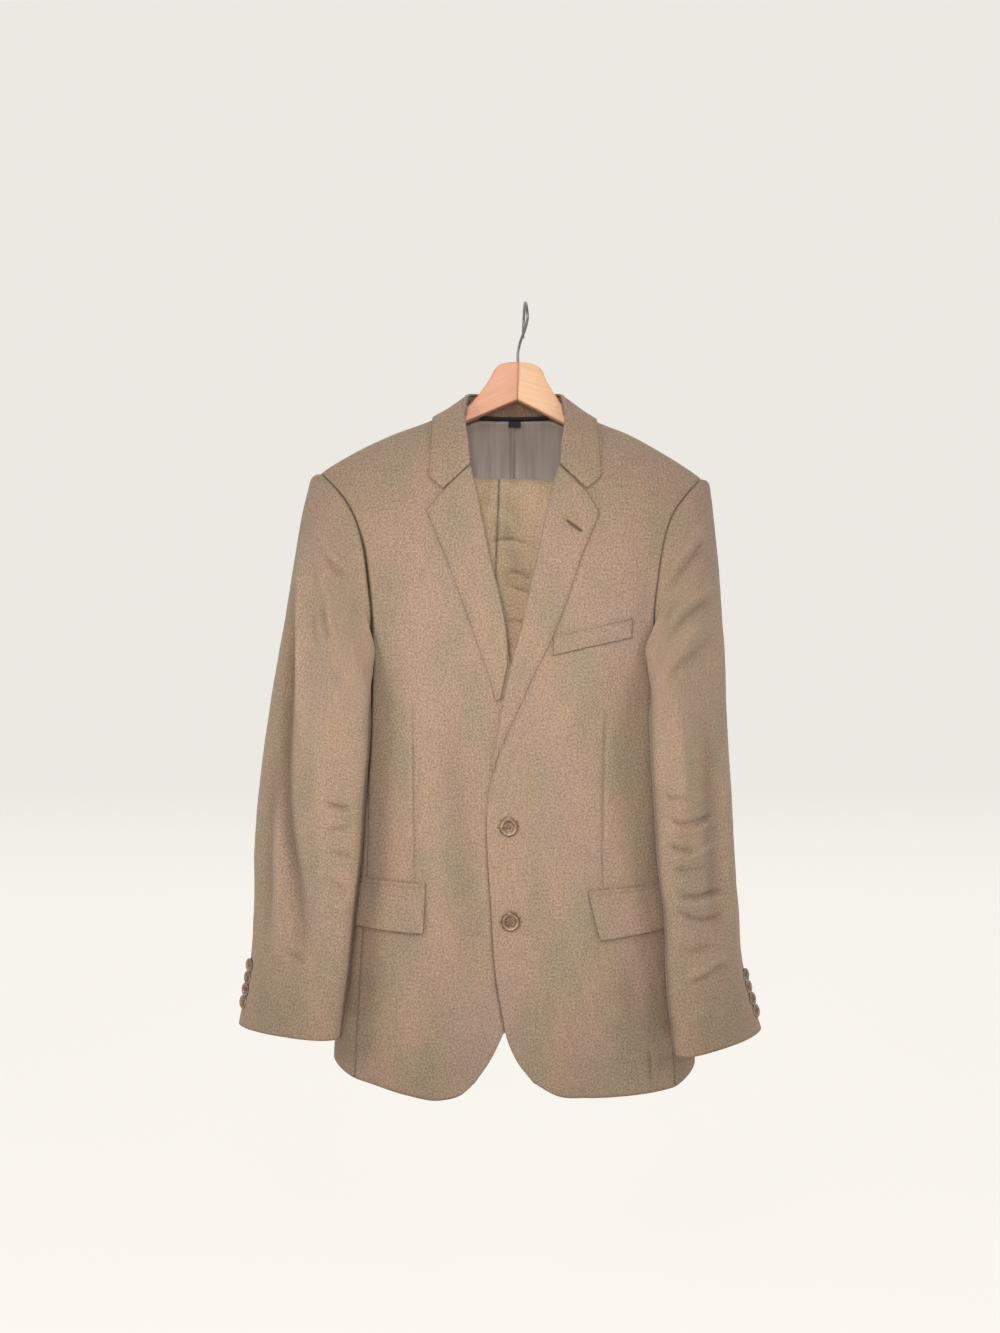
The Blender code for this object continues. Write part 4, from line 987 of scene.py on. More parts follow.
@dataclass
class JacketBody:
    """Fronts, side bodies and backs of the jacket."""

    form: JacketForm
    cloth: Cloth
    setback: float = 4.2
    neck_front: dict[Side, Table] = per_side(
        ((-76, -117), (-73.5, -130), (-71, -145), (-67, -171), (-63.5, -193)),
        ((54, -119), (50, -131), (47, -145), (43, -171), (38.5, -193)),
    )
    neck_back: dict[Side, Table] = per_side(
        ((-12, -124), (-42, -123), (-64, -120.5), (-76, -117)),
        ((-12, -124), (18, -123), (41, -121), (54, -119)),
    )
    edge: dict[Side, Table] = per_side(
        (
            (-11, -440), (-3, -475), (1, -530), (1, -600), (0, -680), (-7, -758), (-16, -800), (-26, -822),
            (-39, -849), (-56, -874),
        ),
        (
            (-42, -560), (-43, -605), (-41, -642), (-38, -683), (-36, -725), (-32, -764), (-26, -799), (-21, -824),
            (-9, -851), (8, -873),
        ),
    )
    sleeve_edge: Table = (
        (-207, -220), (-190, -247), (-180.5, -281), (-175.5, -322), (-172.5, -362), (-172.5, -392), (-174, -451),
        (-177.5, -518), (-184, -578), (-192, -668), (-203, -825),
    )
    roll_rows: dict[Side, int] = per_side(5, 10)
    hem: dict[Side, Table] = per_side(
        ((-56, -874), (-73, -889), (-96, -895), (-133, -891), (-176, -882), (-194, -880)),
        ((8, -873), (37, -889), (70, -892), (110, -892), (150, -891), (170, -890)),
    )
    dart: dict[Side, Table] = per_side(
        ((-125, -452), (-124, -560), (-123, -652)),
        ((87, -461), (85, -531), (84, -657)),
    )

    def centre_edge(self, side: Side, t: Array) -> Array:
        """Centre edge of a front: the neck seam, then the roll line's set-back and the front edge."""
        roll = tuple((x + side.sign * self.setback, z) for x, z in ROLL_LINE[side][: self.roll_rows[side]])
        return along(self.neck_front[side][:-1] + roll + self.edge[side], t)

    def front_plane(self, side: Side, u: Array, v: Array) -> Array:
        """Outline of a front, in the front view."""
        form = self.form
        neck = self.neck_front[side][0]
        shoulder = form.armhole_xz(side, np.zeros(1))[0]
        side_hem = form.side_hem[side]
        hem = self.hem[side][:-1] + ((float(form.seam_x(side, side_hem)), side_hem),)
        start = form.armhole_xz(side, np.array([form.arm_front]))[0, 1]
        share = 0.33

        def top(t: Array) -> Array:
            """Shoulder seam."""
            x = neck[0] + (shoulder[0] - neck[0]) * t
            return np.stack([x, form.ridge(x)], axis=-1)

        def outer(t: Array) -> Array:
            """The armhole's front, then the side seam."""
            arm = form.armhole_xz(side, form.arm_front * np.clip(t / share, 0, 1))
            z = start + (side_hem - start) * np.clip((t - share) / (1 - share), 0, 1)
            seam = np.stack([form.seam_x(side, z), z], axis=-1)
            return np.where((t < share)[:, None], arm, seam)

        return coons(top, lambda t: along(hem, t), lambda t: self.centre_edge(side, t), outer, u, v)

    def build_fronts(self) -> None:
        """The two fronts, with their darts and rolled seams."""
        for side in Side:
            across = np.concatenate([np.linspace(0, 0.07, 14)[:-1], np.linspace(0.07, 1, 90)])
            plane = self.front_plane(side, across, panel_rows(184))
            points = with_y(plane, self.form.front(side, plane[..., 0], plane[..., 1]))
            dips = seam_dip(points, {"top": 0.4, "right": 0.5}, 1.6)
            x, z = points[..., 0], points[..., 2]
            dart = Crease(self.dart[side], -0.8, 2.6).height(x, z)
            tuck = Crease(tuple((a + 5 * side.sign, b) for a, b in self.dart[side]), 0.6, 6.0).height(x, z)
            inward = edge_distances(points)["left"]
            edge = 0.45 * bell((inward - 7.5) / 3.2) - 0.4 * bell((inward - 4.2) / 1.1)
            hem_roll = 0.5 * bell((edge_distances(points)["bottom"] - 38) / 3.0)
            self.cloth.make(
                f"jacket_front_{side.value}", inset(points, top=0.2, right=0.12), CORE[side], [f"front_{side.value}"],
                1.2, relief=dart + tuck + edge - dips - hem_roll, tuck=("top", "right"),
                painted_shading=self.shadow(side, x, z), inside=self.cloth.wardrobe.lining,
            )

    def shadow(self, side: Side, x: Array, z: Array) -> Array:
        """Painted shadow in the narrow gaps over a front: beside its sleeve, under the overlap, in the dart and round
        the buttons, with painted shade in its creases.
        """
        seam = self.dart[side]
        dart = bell((x - along_x(seam, z)) / 1.3)
        dart = dart * smoothstep((seam[0][1] + 4 - z) / 8) * smoothstep((z - seam[-1][1] + 4) / 8)
        total = 0.03 * self.form.relief(x, z, Face.FRONT) - 0.3 * dart
        # Painted shadow in a ring round each button.
        if side is Side.RIGHT:
            for button_x, button_z in BUTTON_SPOTS.values():
                away = np.hypot(x - button_x, z - button_z)
                total = total - 0.5 * bell((away - 9.8) / 1.4)
        # Painted shadow beside the sleeve and under the right front's edge.
        if side is Side.LEFT:
            beside = (along_x(self.sleeve_edge, z) + 1.8 - x) / 1.7
            total = total - 0.95 * bell(np.maximum(-beside, 0.0)) * smoothstep((-240 - z) / 60)
            under = (x - along_x(self.edge[Side.RIGHT], z)) / 1.6
            total = total - 0.6 * bell(np.minimum(under, 0.0)) * smoothstep((-560 - z) / 20)
        return total

    def build_sides(self) -> None:
        """The side bodies, under the arms."""
        form = self.form
        for side in Side:
            share = np.linspace(0, 1, 40)
            turn = form.seam_angle * (1 - 2 * share)
            top = form.armhole_xz(side, form.arm_front + (form.arm_back - form.arm_front) * share)[:, 1]
            hem = form.side_hem[side] + (form.back_hem - form.side_hem[side]) * share
            z = top + (hem - top) * np.linspace(0, 1, 150)[:, None]
            points = form.side_point(side, turn[None, :] + 0 * z, z)
            dips = seam_dip(points, {"left": 0.5, "right": 0.5, "top": 0.4}, 1.6)
            facing = smoothstep(np.minimum(share, 1 - share) / 0.2)[None, :]
            fold = form.crumple(points[..., 1] * 1.3, z, 29) * facing
            points = inset(points, top=0.3, left=0.12, right=0.12)
            self.cloth.make(
                f"jacket_side_{side.value}", points, (form.centre_x + side.sign * 120, 0, -650),
                [f"side_{side.value}"], 1.2, relief=fold - dips, tuck=("left", "right", "top"),
                grain=np.stack([edge_distances(points)["left"], points[..., 2]], axis=-1),
            )

    def build_backs(self) -> None:
        """The backs, joined at the centre seam."""
        form = self.form
        share = 0.3
        for side in Side:
            neck = self.neck_back[side]
            shoulder = form.armhole_xz(side, np.zeros(1))[0]
            run = neck[-1][0] + (shoulder[0] - neck[-1][0]) * np.linspace(0.1, 1, 10)
            head = np.array(neck + tuple((x, float(form.ridge(x))) for x in run))
            corner = arc_knots(head)[len(neck) - 1]
            start = form.armhole_xz(side, np.array([form.arm_back]))[0, 1]

            def outer(t: Array, side: Side = side, start: float = start) -> Array:
                """The armhole's back, then the side seam."""
                arm = form.armhole_xz(side, 360 + (form.arm_back - 360) * np.clip(t / share, 0, 1))
                z = start + (form.back_hem - start) * np.clip((t - share) / (1 - share), 0, 1)
                seam = np.stack([form.seam_x(side, z), z], axis=-1)
                return np.where((t < share)[:, None], arm, seam)

            def centre(t: Array, neck: Table = neck) -> Array:
                """The centre back seam."""
                z = neck[0][1] + (form.back_hem - neck[0][1]) * t
                return np.stack([form.centre_x + 0 * z, z], axis=-1)

            def hem(t: Array, side: Side = side) -> Array:
                """The back hem."""
                x = form.centre_x + (form.seam_x(side, form.back_hem) - form.centre_x) * t
                return np.stack([x, form.back_hem + 0 * x], axis=-1)

            u = np.concatenate([np.linspace(0, corner, 24), np.linspace(corner, 1, 48)[1:]])
            plane = coons(lambda t, head=head: along_straight(head, t), hem, centre, outer, u, panel_rows(158))
            x, z = plane[..., 0], plane[..., 1]
            creases = form.relief(x, z, Face.BACK) * form.facing(x, z)
            points = with_y(plane, form.depth(x, z, Face.BACK) + creases)
            dips = seam_dip(points, {"left": 0.6, "right": 0.5}, 1.6)
            points = inset(points, left=0.12, right=0.12)
            points[:, 23:] = inset(points[:, 23:], top=0.25)
            self.cloth.make(
                f"jacket_back_{side.value}", points, CORE[side], [f"back_{side.value}"], 1.2, relief=-dips,
                tuck=("left", "right"), inside=self.cloth.wardrobe.lining,
            )


@dataclass
class Sleeves:
    """Top and under pieces of both sleeves, with their drape folds and elbow creases.

    Attributes:
        room: Least distance from the body.
        sections: Outer x and z, inner x and z, their depths, front and back thickness, the share of the section's
            own oval against the armhole's loop, and how far that loop is moved out and down.
        front_edge: Line of the sleeve's inner edge, as the front view shows it.
        fold_strength: Depth of the folds against their table.
        fine_strength: Depth of the fine crumple.
    """

    form: JacketForm
    cloth: Cloth
    room: float = 4.4
    sections: dict[Side, Table] = per_side(
        (
            (-246, -202, -198, -414, 0, -14, 40, 42, 0.10, 8, 3), (-256, -248, -186, -420, 0, -28, 40, 41, 0.35, 13, 9),
            (-264, -292, -176, -430, 1, -40, 39, 38, 0.58, 17, 17),
            (-271, -340, -171, -442, 1, -52, 37, 34, 0.82, 20, 26),
            (-281, -395, -171, -462, 2, -50, 34, 32, 1, 0, 0), (-292, -460, -172, -502, 2, -51, 33, 32, 1, 0, 0),
            (-303, -540, -177, -562, 3, -50, 33, 32, 1, 0, 0), (-309, -614, -181, -624, 3, -49, 32, 32, 1, 0, 0),
            (-310, -685, -189, -687, 3, -47, 31, 31, 1, 0, 0), (-314, -752, -195, -752, 2, -47, 31, 31, 1, 0, 0),
            (-326, -819, -203, -821, 0, -48, 31, 31, 1, 0, 0),
        ),
        (
            (213, -209, 175, -414, 0, -16, 40, 42, 0.10, 7, 3), (217, -252, 160, -420, 0, -34, 40, 41, 0.35, 11, 9),
            (221, -296, 144, -430, 1, -48, 39, 38, 0.58, 13, 17), (225, -342, 137, -442, 1, -60, 37, 34, 0.82, 14, 26),
            (228, -396, 136, -462, 2, -58, 34, 32, 1, 0, 0), (230, -460, 136, -502, 2, -59, 33, 32, 1, 0, 0),
            (234, -545, 139, -566, 2, -58, 33, 32, 1, 0, 0), (239, -625, 144, -632, 2, -57, 33, 32, 1, 0, 0),
            (244, -692, 151, -692, 2, -56, 33, 32, 1, 0, 0), (249, -755, 153, -758, 2, -55, 33, 32, 1, 0, 0),
            (269, -824, 161, -838, 0, -55, 33, 32, 1, 0, 0),
        ),
    )
    front_edge: dict[Side, Table] = per_side(
        ((-173, -340), (-170, -391), (-170, -451), (-173, -518), (-179, -578)),
        ((143, -320), (139, -362), (136, -400), (135, -451), (135, -480), (137, -518)),
    )
    front_creases: dict[Side, tuple[Crease, ...]] = field(default_factory=dict)
    back_creases: dict[Side, tuple[Crease, ...]] = field(default_factory=dict)
    fold_strength: float = 3.2
    fine_strength: float = 1.6

    def surface(self, side: Side, shares: Array, angles: Array) -> Array:
        """Points of a sleeve.

        Args:
            side: Which sleeve.
            shares: Share of its length for each row.
            angles: Angle round it at each point of each row.

        Returns:
            A grid of points in millimetres.
        """
        surface = np.empty(angles.shape + (3,))
        for row, share in enumerate(shares):
            knots, rings = self.rings(side, angles[row])
            surface[row] = spline(knots, rings, np.array([share]))[0]
        # The line nearest the body is laid on the edge that the front view shows.
        knots, rings = self.rings(side, np.array([172.0]))
        edge = spline(knots, rings[:, 0], shares)
        short = np.clip((edge[:, 0] - along_x(self.front_edge[side], edge[:, 2])) * side.sign, 0.0, 30.0)
        lap = short * smoothstep(shares / 0.035) * (1 - smoothstep((shares - 0.2) / 0.1))
        lap = lap[:, None] * bell((angles % 360 - 162) / 34)
        surface += lap[..., None] * np.array([-side.sign * 1.0, -0.75, 0.0])
        # Fullness below the back of the armhole.
        fall = smoothstep(shares / 0.05) * (1 - smoothstep((shares - 0.05) / 0.42))
        behind = bell((angles % 360 - 248) / 40) * fall[:, None]
        surface += behind[..., None] * np.array([-side.sign * 3.0, 19.0, 0.0])
        room = self.room * (0.1 + 0.9 * smoothstep(shares / 0.03)[:, None])
        return self.form.push_clear(surface, room)

    def rings(self, side: Side, angles: Array) -> tuple[Array, Array]:
        """Share of the length of every section of a sleeve, the armhole first, and its points at the angles."""
        rows = np.asarray(self.sections[side], float)
        outer, inner = xyz(rows[:, 0], rows[:, 4], rows[:, 1]), xyz(rows[:, 2], rows[:, 5], rows[:, 3])
        middle, reach = (outer + inner) / 2, (outer - inner) / 2
        steps = np.linalg.norm(np.diff(middle, axis=0), axis=1)
        knots = np.concatenate([[0.0, 12.0], 12.0 + np.cumsum(steps)])
        turn = np.radians(angles)
        cosine = np.sign(np.cos(turn)) * np.abs(np.cos(turn)) ** 0.86
        sine = np.sign(np.sin(turn)) * np.abs(np.sin(turn)) ** 0.86
        oval = middle[:, None] + reach[:, None] * cosine[None, :, None]
        oval[..., 1] -= np.where(sine > 0, rows[:, 6, None], rows[:, 7, None]) * sine[None, :]
        loop = self.form.armhole_point(side, angles % 360)
        out = side.sign * rows[:, 9, None] * (0.65 + 0.35 * np.cos(turn))
        down = -rows[:, 10, None] * (1 - 0.4 * np.cos(turn))
        share = rows[:, 8, None, None]
        moved = (loop[None] + xyz(out, 0 * out, down)) * (1 - share) + oval * share
        return knots / knots[-1], np.concatenate([loop[None], moved])

    def relief(self, side: Side, points: Array, angles: Array) -> Array:
        """How far a sleeve's folds and creases stand out."""
        x, z = points[..., 0], points[..., 2]
        front = smoothstep(np.sin(np.radians(angles)) / 0.5)
        back = smoothstep(-np.sin(np.radians(angles)) / 0.5)
        folds = creased(self.front_creases[side], x, z) * front + creased(self.back_creases[side], x, z) * back
        fine = self.form.crumple(x * 1.2, z, 41 if side is Side.LEFT else 57)
        start = smoothstep(edge_distances(points)["top"] / 16)
        return (self.fold_strength * folds + self.fine_strength * fine) * start

    def build(self) -> None:
        """Both sleeves."""
        shares = np.concatenate([np.linspace(0, 0.06, 14)[:-1], np.linspace(0.06, 1, 188)])
        back_seam = (-75 + 60 * smoothstep(shares * 1.4))[:, None]
        front_seam = (168 + 2 * smoothstep(shares * 1.6))[:, None]
        behind, before, share = np.linspace(1, 0.0, 19)[:-1], np.linspace(0, 1, 72), np.linspace(0, 1, 50)
        for side in Side:
            self.panel(side, "top", shares, np.concatenate([back_seam * behind, front_seam * before], axis=1))
            self.panel(side, "under", shares, front_seam * (1 - share) + (back_seam + 360) * share)

    def shadow(self, side: Side, angles: Array, points: Array) -> Array:
        """Painted shadow in the gap between a sleeve and the body and along its armhole seam: deep on the left, faint
        on the right.
        """
        deep = 0.9 if side is Side.LEFT else 0.25
        top = edge_distances(points)["top"]
        ahead = smoothstep(np.sin(np.radians(angles)) * 2)
        gap = -deep * bell((angles % 360 - 183) / 13) * smoothstep(top / 30)
        return gap - 0.55 * deep * bell(top / 1.5) * ahead

    def panel(self, side: Side, part: str, shares: Array, angles: Array) -> None:
        """One piece of a sleeve."""
        section = self.sections[side][5]
        points = self.surface(side, shares, angles)
        gaps = edge_distances(points)
        dips = seam_dip(points, {"top": 0.4, "left": 0.4, "right": 0.4}, 1.4) + 0.4 * bell((gaps["bottom"] - 35) / 3.0)
        relief = self.relief(side, points, angles) - dips
        middle = gaps["left"].shape[1] // 2
        across = gaps["left"] - gaps["left"][:, middle : middle + 1]
        points = inset(points, top=0.15, left=0.15, right=0.15)
        self.cloth.make(
            f"{part}_sleeve_cloth_{side.value}", points, ((section[0] + section[2]) / 2, -25, -560),
            [f"{part}_sleeve_{side.value}"], 1.0, relief=relief, rests_on=[f"jacket_front_{side.value}"],
            grain=np.stack([across, gaps["bottom"][:, middle : middle + 1] + 0 * across], axis=-1),
            tuck=("top", "left", "right"), painted_shading=self.shadow(side, angles, points),
        )


def edge_swell(inward: Array) -> Array:
    """Soft swell and stitched groove along an edge, at distances from it."""
    return 0.25 * bell((inward - 6) / 4) - 0.35 * bell((inward - 3.2) / 0.9)


@dataclass
class Lapels:
    """The turned-back lapels on the fronts."""

    form: JacketForm
    cloth: Cloth
    roll: float = 2.6
    rows: dict[Side, int] = per_side(150, 190)
    head: dict[Side, Table] = per_side(
        ((-60.5, -193), (-91, -221), (-110, -242)),
        ((36, -193), (66, -222), (81, -245)),
    )
    edge: dict[Side, Table] = per_side(
        ((-110, -242), (-89, -292), (-64, -359), (-49, -401), (-43, -418), (-37, -438), (-33, -452)),
        (
            (81, -245), (61, -293), (44, -343), (28, -384), (7, -426), (-13, -471), (-25, -496), (-34, -522),
            (-35, -529),
        ),
    )

    def points(self, side: Side, columns: int) -> Array:
        """Grid of a lapel: its roll round the front's edge, then its face out to its own edge."""
        out = side.sign
        u, v = np.linspace(0, 1, columns), np.linspace(0, 1, self.rows[side])
        roll, edge, head = ROLL_LINE[side], self.edge[side], self.head[side]
        foot = (roll[-1], edge[-1])
        plane = coons(
            lambda t: along_straight(head, t), lambda t: along_straight(foot, t), lambda t: along(roll, t),
            lambda t: along(edge, t), u, v,
        )
        start = plane[:, 0].copy()
        width = np.abs(plane[:, -1, 0] - start[:, 0])
        radius = np.minimum(self.roll, width * 0.45)[:, None]
        begin = 90 + 0 * start[:, 1]
        if side is Side.LEFT:
            begin = 90 - 110 * smoothstep((-335 - start[:, 1]) / 40)
        turn = np.radians(begin[:, None] + (-90 - begin[:, None]) * np.linspace(0, 1, 14))
        x = start[:, :1] + out * radius * (1 - np.cos(turn))
        z = start[:, 1:] + 0 * x
        y = self.form.front(side, x, z) + 1.6 - radius * (1 - np.sin(turn))
        face, back = plane[:, 1:].copy(), 1 - u[None, 1:]
        face[..., 0] += out * radius * back
        rise = (2 * radius - 1.6) * back**2 + 2.3 * (1 - back**2)
        face_y = self.form.front(side, face[..., 0], face[..., 1]) - rise
        return np.concatenate([xyz(x, y, z), with_y(face, face_y)], axis=1)

    def aim(self, side: Side) -> tuple[float, float, float]:
        """Point behind a lapel, which its wall grows towards."""
        return CORE[side][0], 300.0, -330.0

    def build(self) -> None:
        """Both lapels, each with a soft pick-stitched edge."""
        for side in Side:
            points = self.points(side, 42)
            gaps = edge_distances(points)
            fall = -0.5 * bell(gaps["right"] / 1.5) - 0.4 * bell(gaps["top"] / 1.6)
            fine = 0.5 * self.form.crumple(points[..., 0] + 300, points[..., 2], 71)
            self.cloth.make(
                f"lapel_cloth_{side.value}", inset(points, top=0.5), self.aim(side), [f"lapel_{side.value}"], 1.3,
                relief=edge_swell(gaps["right"]) + fall + fine, rests_on=[f"jacket_front_{side.value}"],
                held="folded",
            )


@dataclass
class Collar:
    """The folded collar: its fall over the neck seam and its stand inside."""

    form: JacketForm
    cloth: Cloth
    body: JacketBody
    radius: float = 2.4
    half: Table = (
        (-61.5, -57, -192, -107, -47, -206), (-63.0, -54, -172, -106.5, -44, -190),
        (-66.5, -44, -145, -105.5, -37, -165),
        (-68.0, -26, -123, -105, -22, -147), (-67.5, -8, -107, -104, 0, -132), (-64.5, 8, -100, -98, 22, -131),
        (-53.0, 21, -97, -82, 36, -136), (-34.0, 29, -96, -50, 42, -139), (-12.0, 31, -95.5, -12, 43, -140),
    )
    end: Table = ((-61.5, -192), (-91, -219.5), (-107, -206))

    def lines(self, share: Array) -> tuple[Array, Array]:
        """Fold line and edge of the collar at shares of its length."""
        rows = [tuple(row) for row in self.half]
        other = []
        for row in rows[-2::-1]:
            flipped = list(row)
            for k in (0, 3):
                flipped[k] = 2 * self.form.centre_x - flipped[k]
            other.append(tuple(flipped))
        table = np.asarray(rows + other, float)
        both = spline(arc_knots(table[:, :3]), table, share)
        return both[:, :3], both[:, 3:]

    def fold_frame(self, fold: Array) -> tuple[Array, Array]:
        """Ways up and out at each point of the fold."""
        inward = xyz(self.form.centre_x - fold[:, 0], -10 - fold[:, 1], 0 * fold[:, 0])
        inward /= np.linalg.norm(inward, axis=1)[:, None]
        front = smoothstep((-112 - fold[:, 2]) / 40)[:, None]
        up = (1 - front) * np.array([0.0, 0.0, 1.0]) + front * inward
        up /= np.linalg.norm(up, axis=1)[:, None]
        out = (1 - front) * -inward + front * np.array([0.0, -1.0, 0.0])
        out -= up * np.sum(out * up, axis=1)[:, None]
        return up, out / np.linalg.norm(out, axis=1)[:, None]

    @property
    def aim(self) -> tuple[float, float, float]:
        """Point inside the fall, which its wall grows towards."""
        return self.form.centre_x, 0.0, -260.0

    def fall_points(self) -> Array:
        """Grid of the collar's fall: over the fold, then out to its edge."""
        share = np.linspace(0, 1, 221)
        fold, edge = self.lines(share)
        up, out = self.fold_frame(fold)
        turn = np.radians(np.linspace(-90, 90, 15))
        heart = fold - up * self.radius
        bend = heart[:, None] + self.radius * (
            up[:, None] * np.cos(turn)[None, :, None] + out[:, None] * np.sin(turn)[None, :, None]
        )
        start = bend[:, -1]
        b = np.linspace(0, 1, 36)[1:]
        face = start[:, None] + (edge - start)[:, None] * b[None, :, None]
        end = np.asarray(self.end, float)
        bow = along_straight(end, b) - (end[0] + (end[-1] - end[0]) * b[:, None])
        stations = 28.0
        for tip, sign in ((0.0, 1.0), (stations, -1.0)):
            away = np.abs(share * stations - tip)
            weight = np.interp(away, (0, 1, 2, 3), (1.0, 0.45, 0.12, 0.0))[:, None]
            face[..., 0] += bow[None, :, 0] * weight * sign
            face[..., 2] += bow[None, :, 1] * weight
        distance = self.form.distance(face)[0]
        rest = 3.4 - 1.0 * b[None, :] + 1.2 * bell(face[..., 1] / 14)
        wanted = np.maximum(distance * (1 - b[None, :] ** 1.5), 0) + rest * b[None, :] ** 0.5
        face = self.form.moved_out(face, np.maximum(wanted, rest))
        return np.concatenate([bend, face], axis=1)

    def neck_seam(self, stations: int) -> Array:
        """Foot of the stand along the neck seam, from the left gorge round the back to the right one."""
        front, back = self.body.neck_front, self.body.neck_back
        plane = np.concatenate([
            np.asarray(front[Side.LEFT][3::-1], float), np.asarray(back[Side.LEFT][-2::-1], float),
            np.asarray(back[Side.RIGHT][1:], float), np.asarray(front[Side.RIGHT][1:4], float),
        ])
        count = len(back[Side.LEFT]) + len(back[Side.RIGHT]) - 3
        kind = np.concatenate([np.full(3, -1), np.zeros(1), np.full(count, 1), np.zeros(1), np.full(3, -1)])
        x, z = plane[:, 0], plane[:, 1]
        y = np.where(kind < 0, self.form.depth(x, z, Face.FRONT), self.form.depth(x, z, Face.BACK)) * (kind != 0)
        seam = with_y(plane, y)
        way = xyz(self.form.centre_x - seam[:, 0], -seam[:, 1] * 0.6, 0 * y)
        room = 0.9 + 1.4 * smoothstep((-112 - plane[:, 1:]) / 18)
        seam += way / np.linalg.norm(way, axis=1)[:, None] * room
        seam[:, 2] += 0.8
        return along(seam, np.linspace(0, 1, stations))

    def build(self) -> None:
        """The fall and the stand."""
        points = self.fall_points()
        gaps = edge_distances(points)
        ends = -0.4 * bell(gaps["top"] / 1.6) - 0.4 * bell(gaps["bottom"] / 1.6)
        fine = 0.5 * self.form.crumple(points[..., 0], points[..., 2] + points[..., 1], 83)
        self.cloth.make(
            "collar_fall_cloth", points, self.aim, ["collar_fall"], 1.3,
            relief=edge_swell(gaps["right"]) + ends + fine, rests_on=["jacket_back_left"], held="folded",
        )
        share = np.linspace(0.07, 0.93, 181)
        fold, _ = self.lines(share)
        up, out = self.fold_frame(fold)
        top = fold - up * (self.radius + 1.0) - out * self.radius * 0.95
        foot = self.neck_seam(len(share))
        rise = np.linspace(0, 1, 18)[None, :, None]
        self.cloth.make(
            "collar_stand_cloth", foot[:, None] * (1 - rise) + top[:, None] * rise,
            (self.form.centre_x, -400, -115), ["collar_stand"], 1.0, rests_on=["collar_fall_cloth"], held="folded",
        )


@dataclass
class NeckInside:
    """Satin lining of the upper back, the piping along its head and the bare label."""

    form: JacketForm
    cloth: Cloth
    head: Table = (
        (-104, -156), (-78, -139), (-55, -129), (-30, -127.9), (-12, -127.9), (12, -127.9), (33, -129), (55, -140),
        (80, -158),
    )
    pleat_x: float = -13.0
    waves: Table = ((-62, 7, 1.6), (-44, 6, 1.4), (-27, 5, 1.1), (4, 6, 1.3), (20, 5, 1.0), (38, 7, 1.7))

    def build(self) -> None:
        """The lining with its centre pleat and soft folds, the piping and the label."""
        head = np.asarray(self.head, float)
        x = np.linspace(-104, 80, 140)
        top = spline(head[:, 0], head[:, 1], x)
        z = top + (-345 - top) * np.linspace(0, 1, 64)[:, None]
        grid_x = x[None, :] + 0 * z
        y = self.form.depth(grid_x, z, Face.BACK) - 5.4
        pleat = 2.2 * smoothstep((grid_x - self.pleat_x + 5) / 4.4) * (1 - smoothstep((grid_x - self.pleat_x) / 1.0))
        waves = 0.0 * grid_x
        for centre, width, size in self.waves:
            lean = centre + 0.05 * (z + 128) * (1 if centre < self.form.centre_x else -1)
            waves += size * bell((grid_x - lean) / width) * smoothstep((top[None] - z) / 18)
        darts = creased(
            crease_table((((-51, -129), (-46, -137), (-43, -146)), -1.2, 1.5),
                         (((24, -129), (20, -137), (18, -146)), -1.2, 1.5)),
            grid_x, z,
        )
        satin = self.cloth.wardrobe.lining
        self.cloth.make(
            "back_lining_satin", xyz(grid_x, y - pleat - waves * 0.9 - darts * 0.8, z),
            (self.form.centre_x, 400, -230), ["back_lining"], 0.6, outside=satin, inside=satin, slot="lining",
            rests_on=["jacket_back_left", "jacket_back_right"],
        )
        self.piping()
        self.label()

    def piping(self) -> None:
        """The corded edge of the lining."""
        x = np.linspace(-52, 28, 40)
        y = self.form.depth(x, np.full_like(x, -125.0), Face.BACK) - 5.8
        obj = tube("neck_piping_cord", xyz(x, y, np.full_like(x, -125.2)), 2.1, 6)
        dress(obj, self.cloth.wardrobe.tape, "trim", "neck_piping")

    def label(self) -> None:
        """A small folded tab of tape, with eased edges."""
        spot = (-11.5, float(self.form.depth(-11.5, -132.0, Face.BACK)) - 9.9, -131.6)
        upper = (spot[2] + 3.4) * MM
        fresh()
        bpy.ops.mesh.primitive_cube_add(size=1.0, location=[value * MM for value in spot])
        obj = bpy.context.object
        obj.name = "neck_label_tab"
        obj.scale = (14.5 * MM, 0.8 * MM, 7.0 * MM)
        settle(obj)
        with editing(obj):
            bpy.ops.mesh.select_all(action="SELECT")
            bpy.ops.mesh.subdivide(number_cuts=6)
            bpy.ops.mesh.select_all(action="DESELECT")
            select_edges(obj, lambda a, b: abs(a.z - b.z) < 1e-6 and min(a.z, b.z) > upper)
            bpy.ops.mesh.bevel(offset=0.25 * MM, segments=2)
        dress(obj, self.cloth.wardrobe.tape, "trim", "neck_label")


# Work in edit mode


def fresh() -> None:
    """Deselect everything."""
    for obj in bpy.context.selected_objects:
        obj.select_set(False)
    bpy.context.view_layer.objects.active = None


def activate(obj: bpy.types.Object) -> None:
    """Make one object the only selected and active one."""
    fresh()
    obj.select_set(True)
    bpy.context.view_layer.objects.active = obj


def settle(obj: bpy.types.Object) -> None:
    """Put an object's place, turn and size into its mesh."""
    activate(obj)
    bpy.ops.object.transform_apply(location=True, rotation=True, scale=True)


class editing:
    """Edit mode on one object, as a with block."""

    def __init__(self, obj: bpy.types.Object) -> None:
        """Keep the object."""
        self.obj = obj

    def __enter__(self) -> bpy.types.Object:
        """Enter edit mode."""
        activate(self.obj)
        bpy.ops.object.mode_set(mode="EDIT")
        return self.obj

    def __exit__(self, *_: Any) -> None:
        """Leave edit mode."""
        bpy.ops.object.mode_set(mode="OBJECT")


def select_faces(obj: bpy.types.Object, test: Callable[[Vector, Vector], bool]) -> None:
    """Select the faces whose centre and normal pass a test, in edit mode."""
    data = bmesh.from_edit_mesh(obj.data)
    for face in data.faces:
        face.select_set(test(face.calc_center_median(), face.normal))
    data.select_flush_mode()
    bmesh.update_edit_mesh(obj.data)


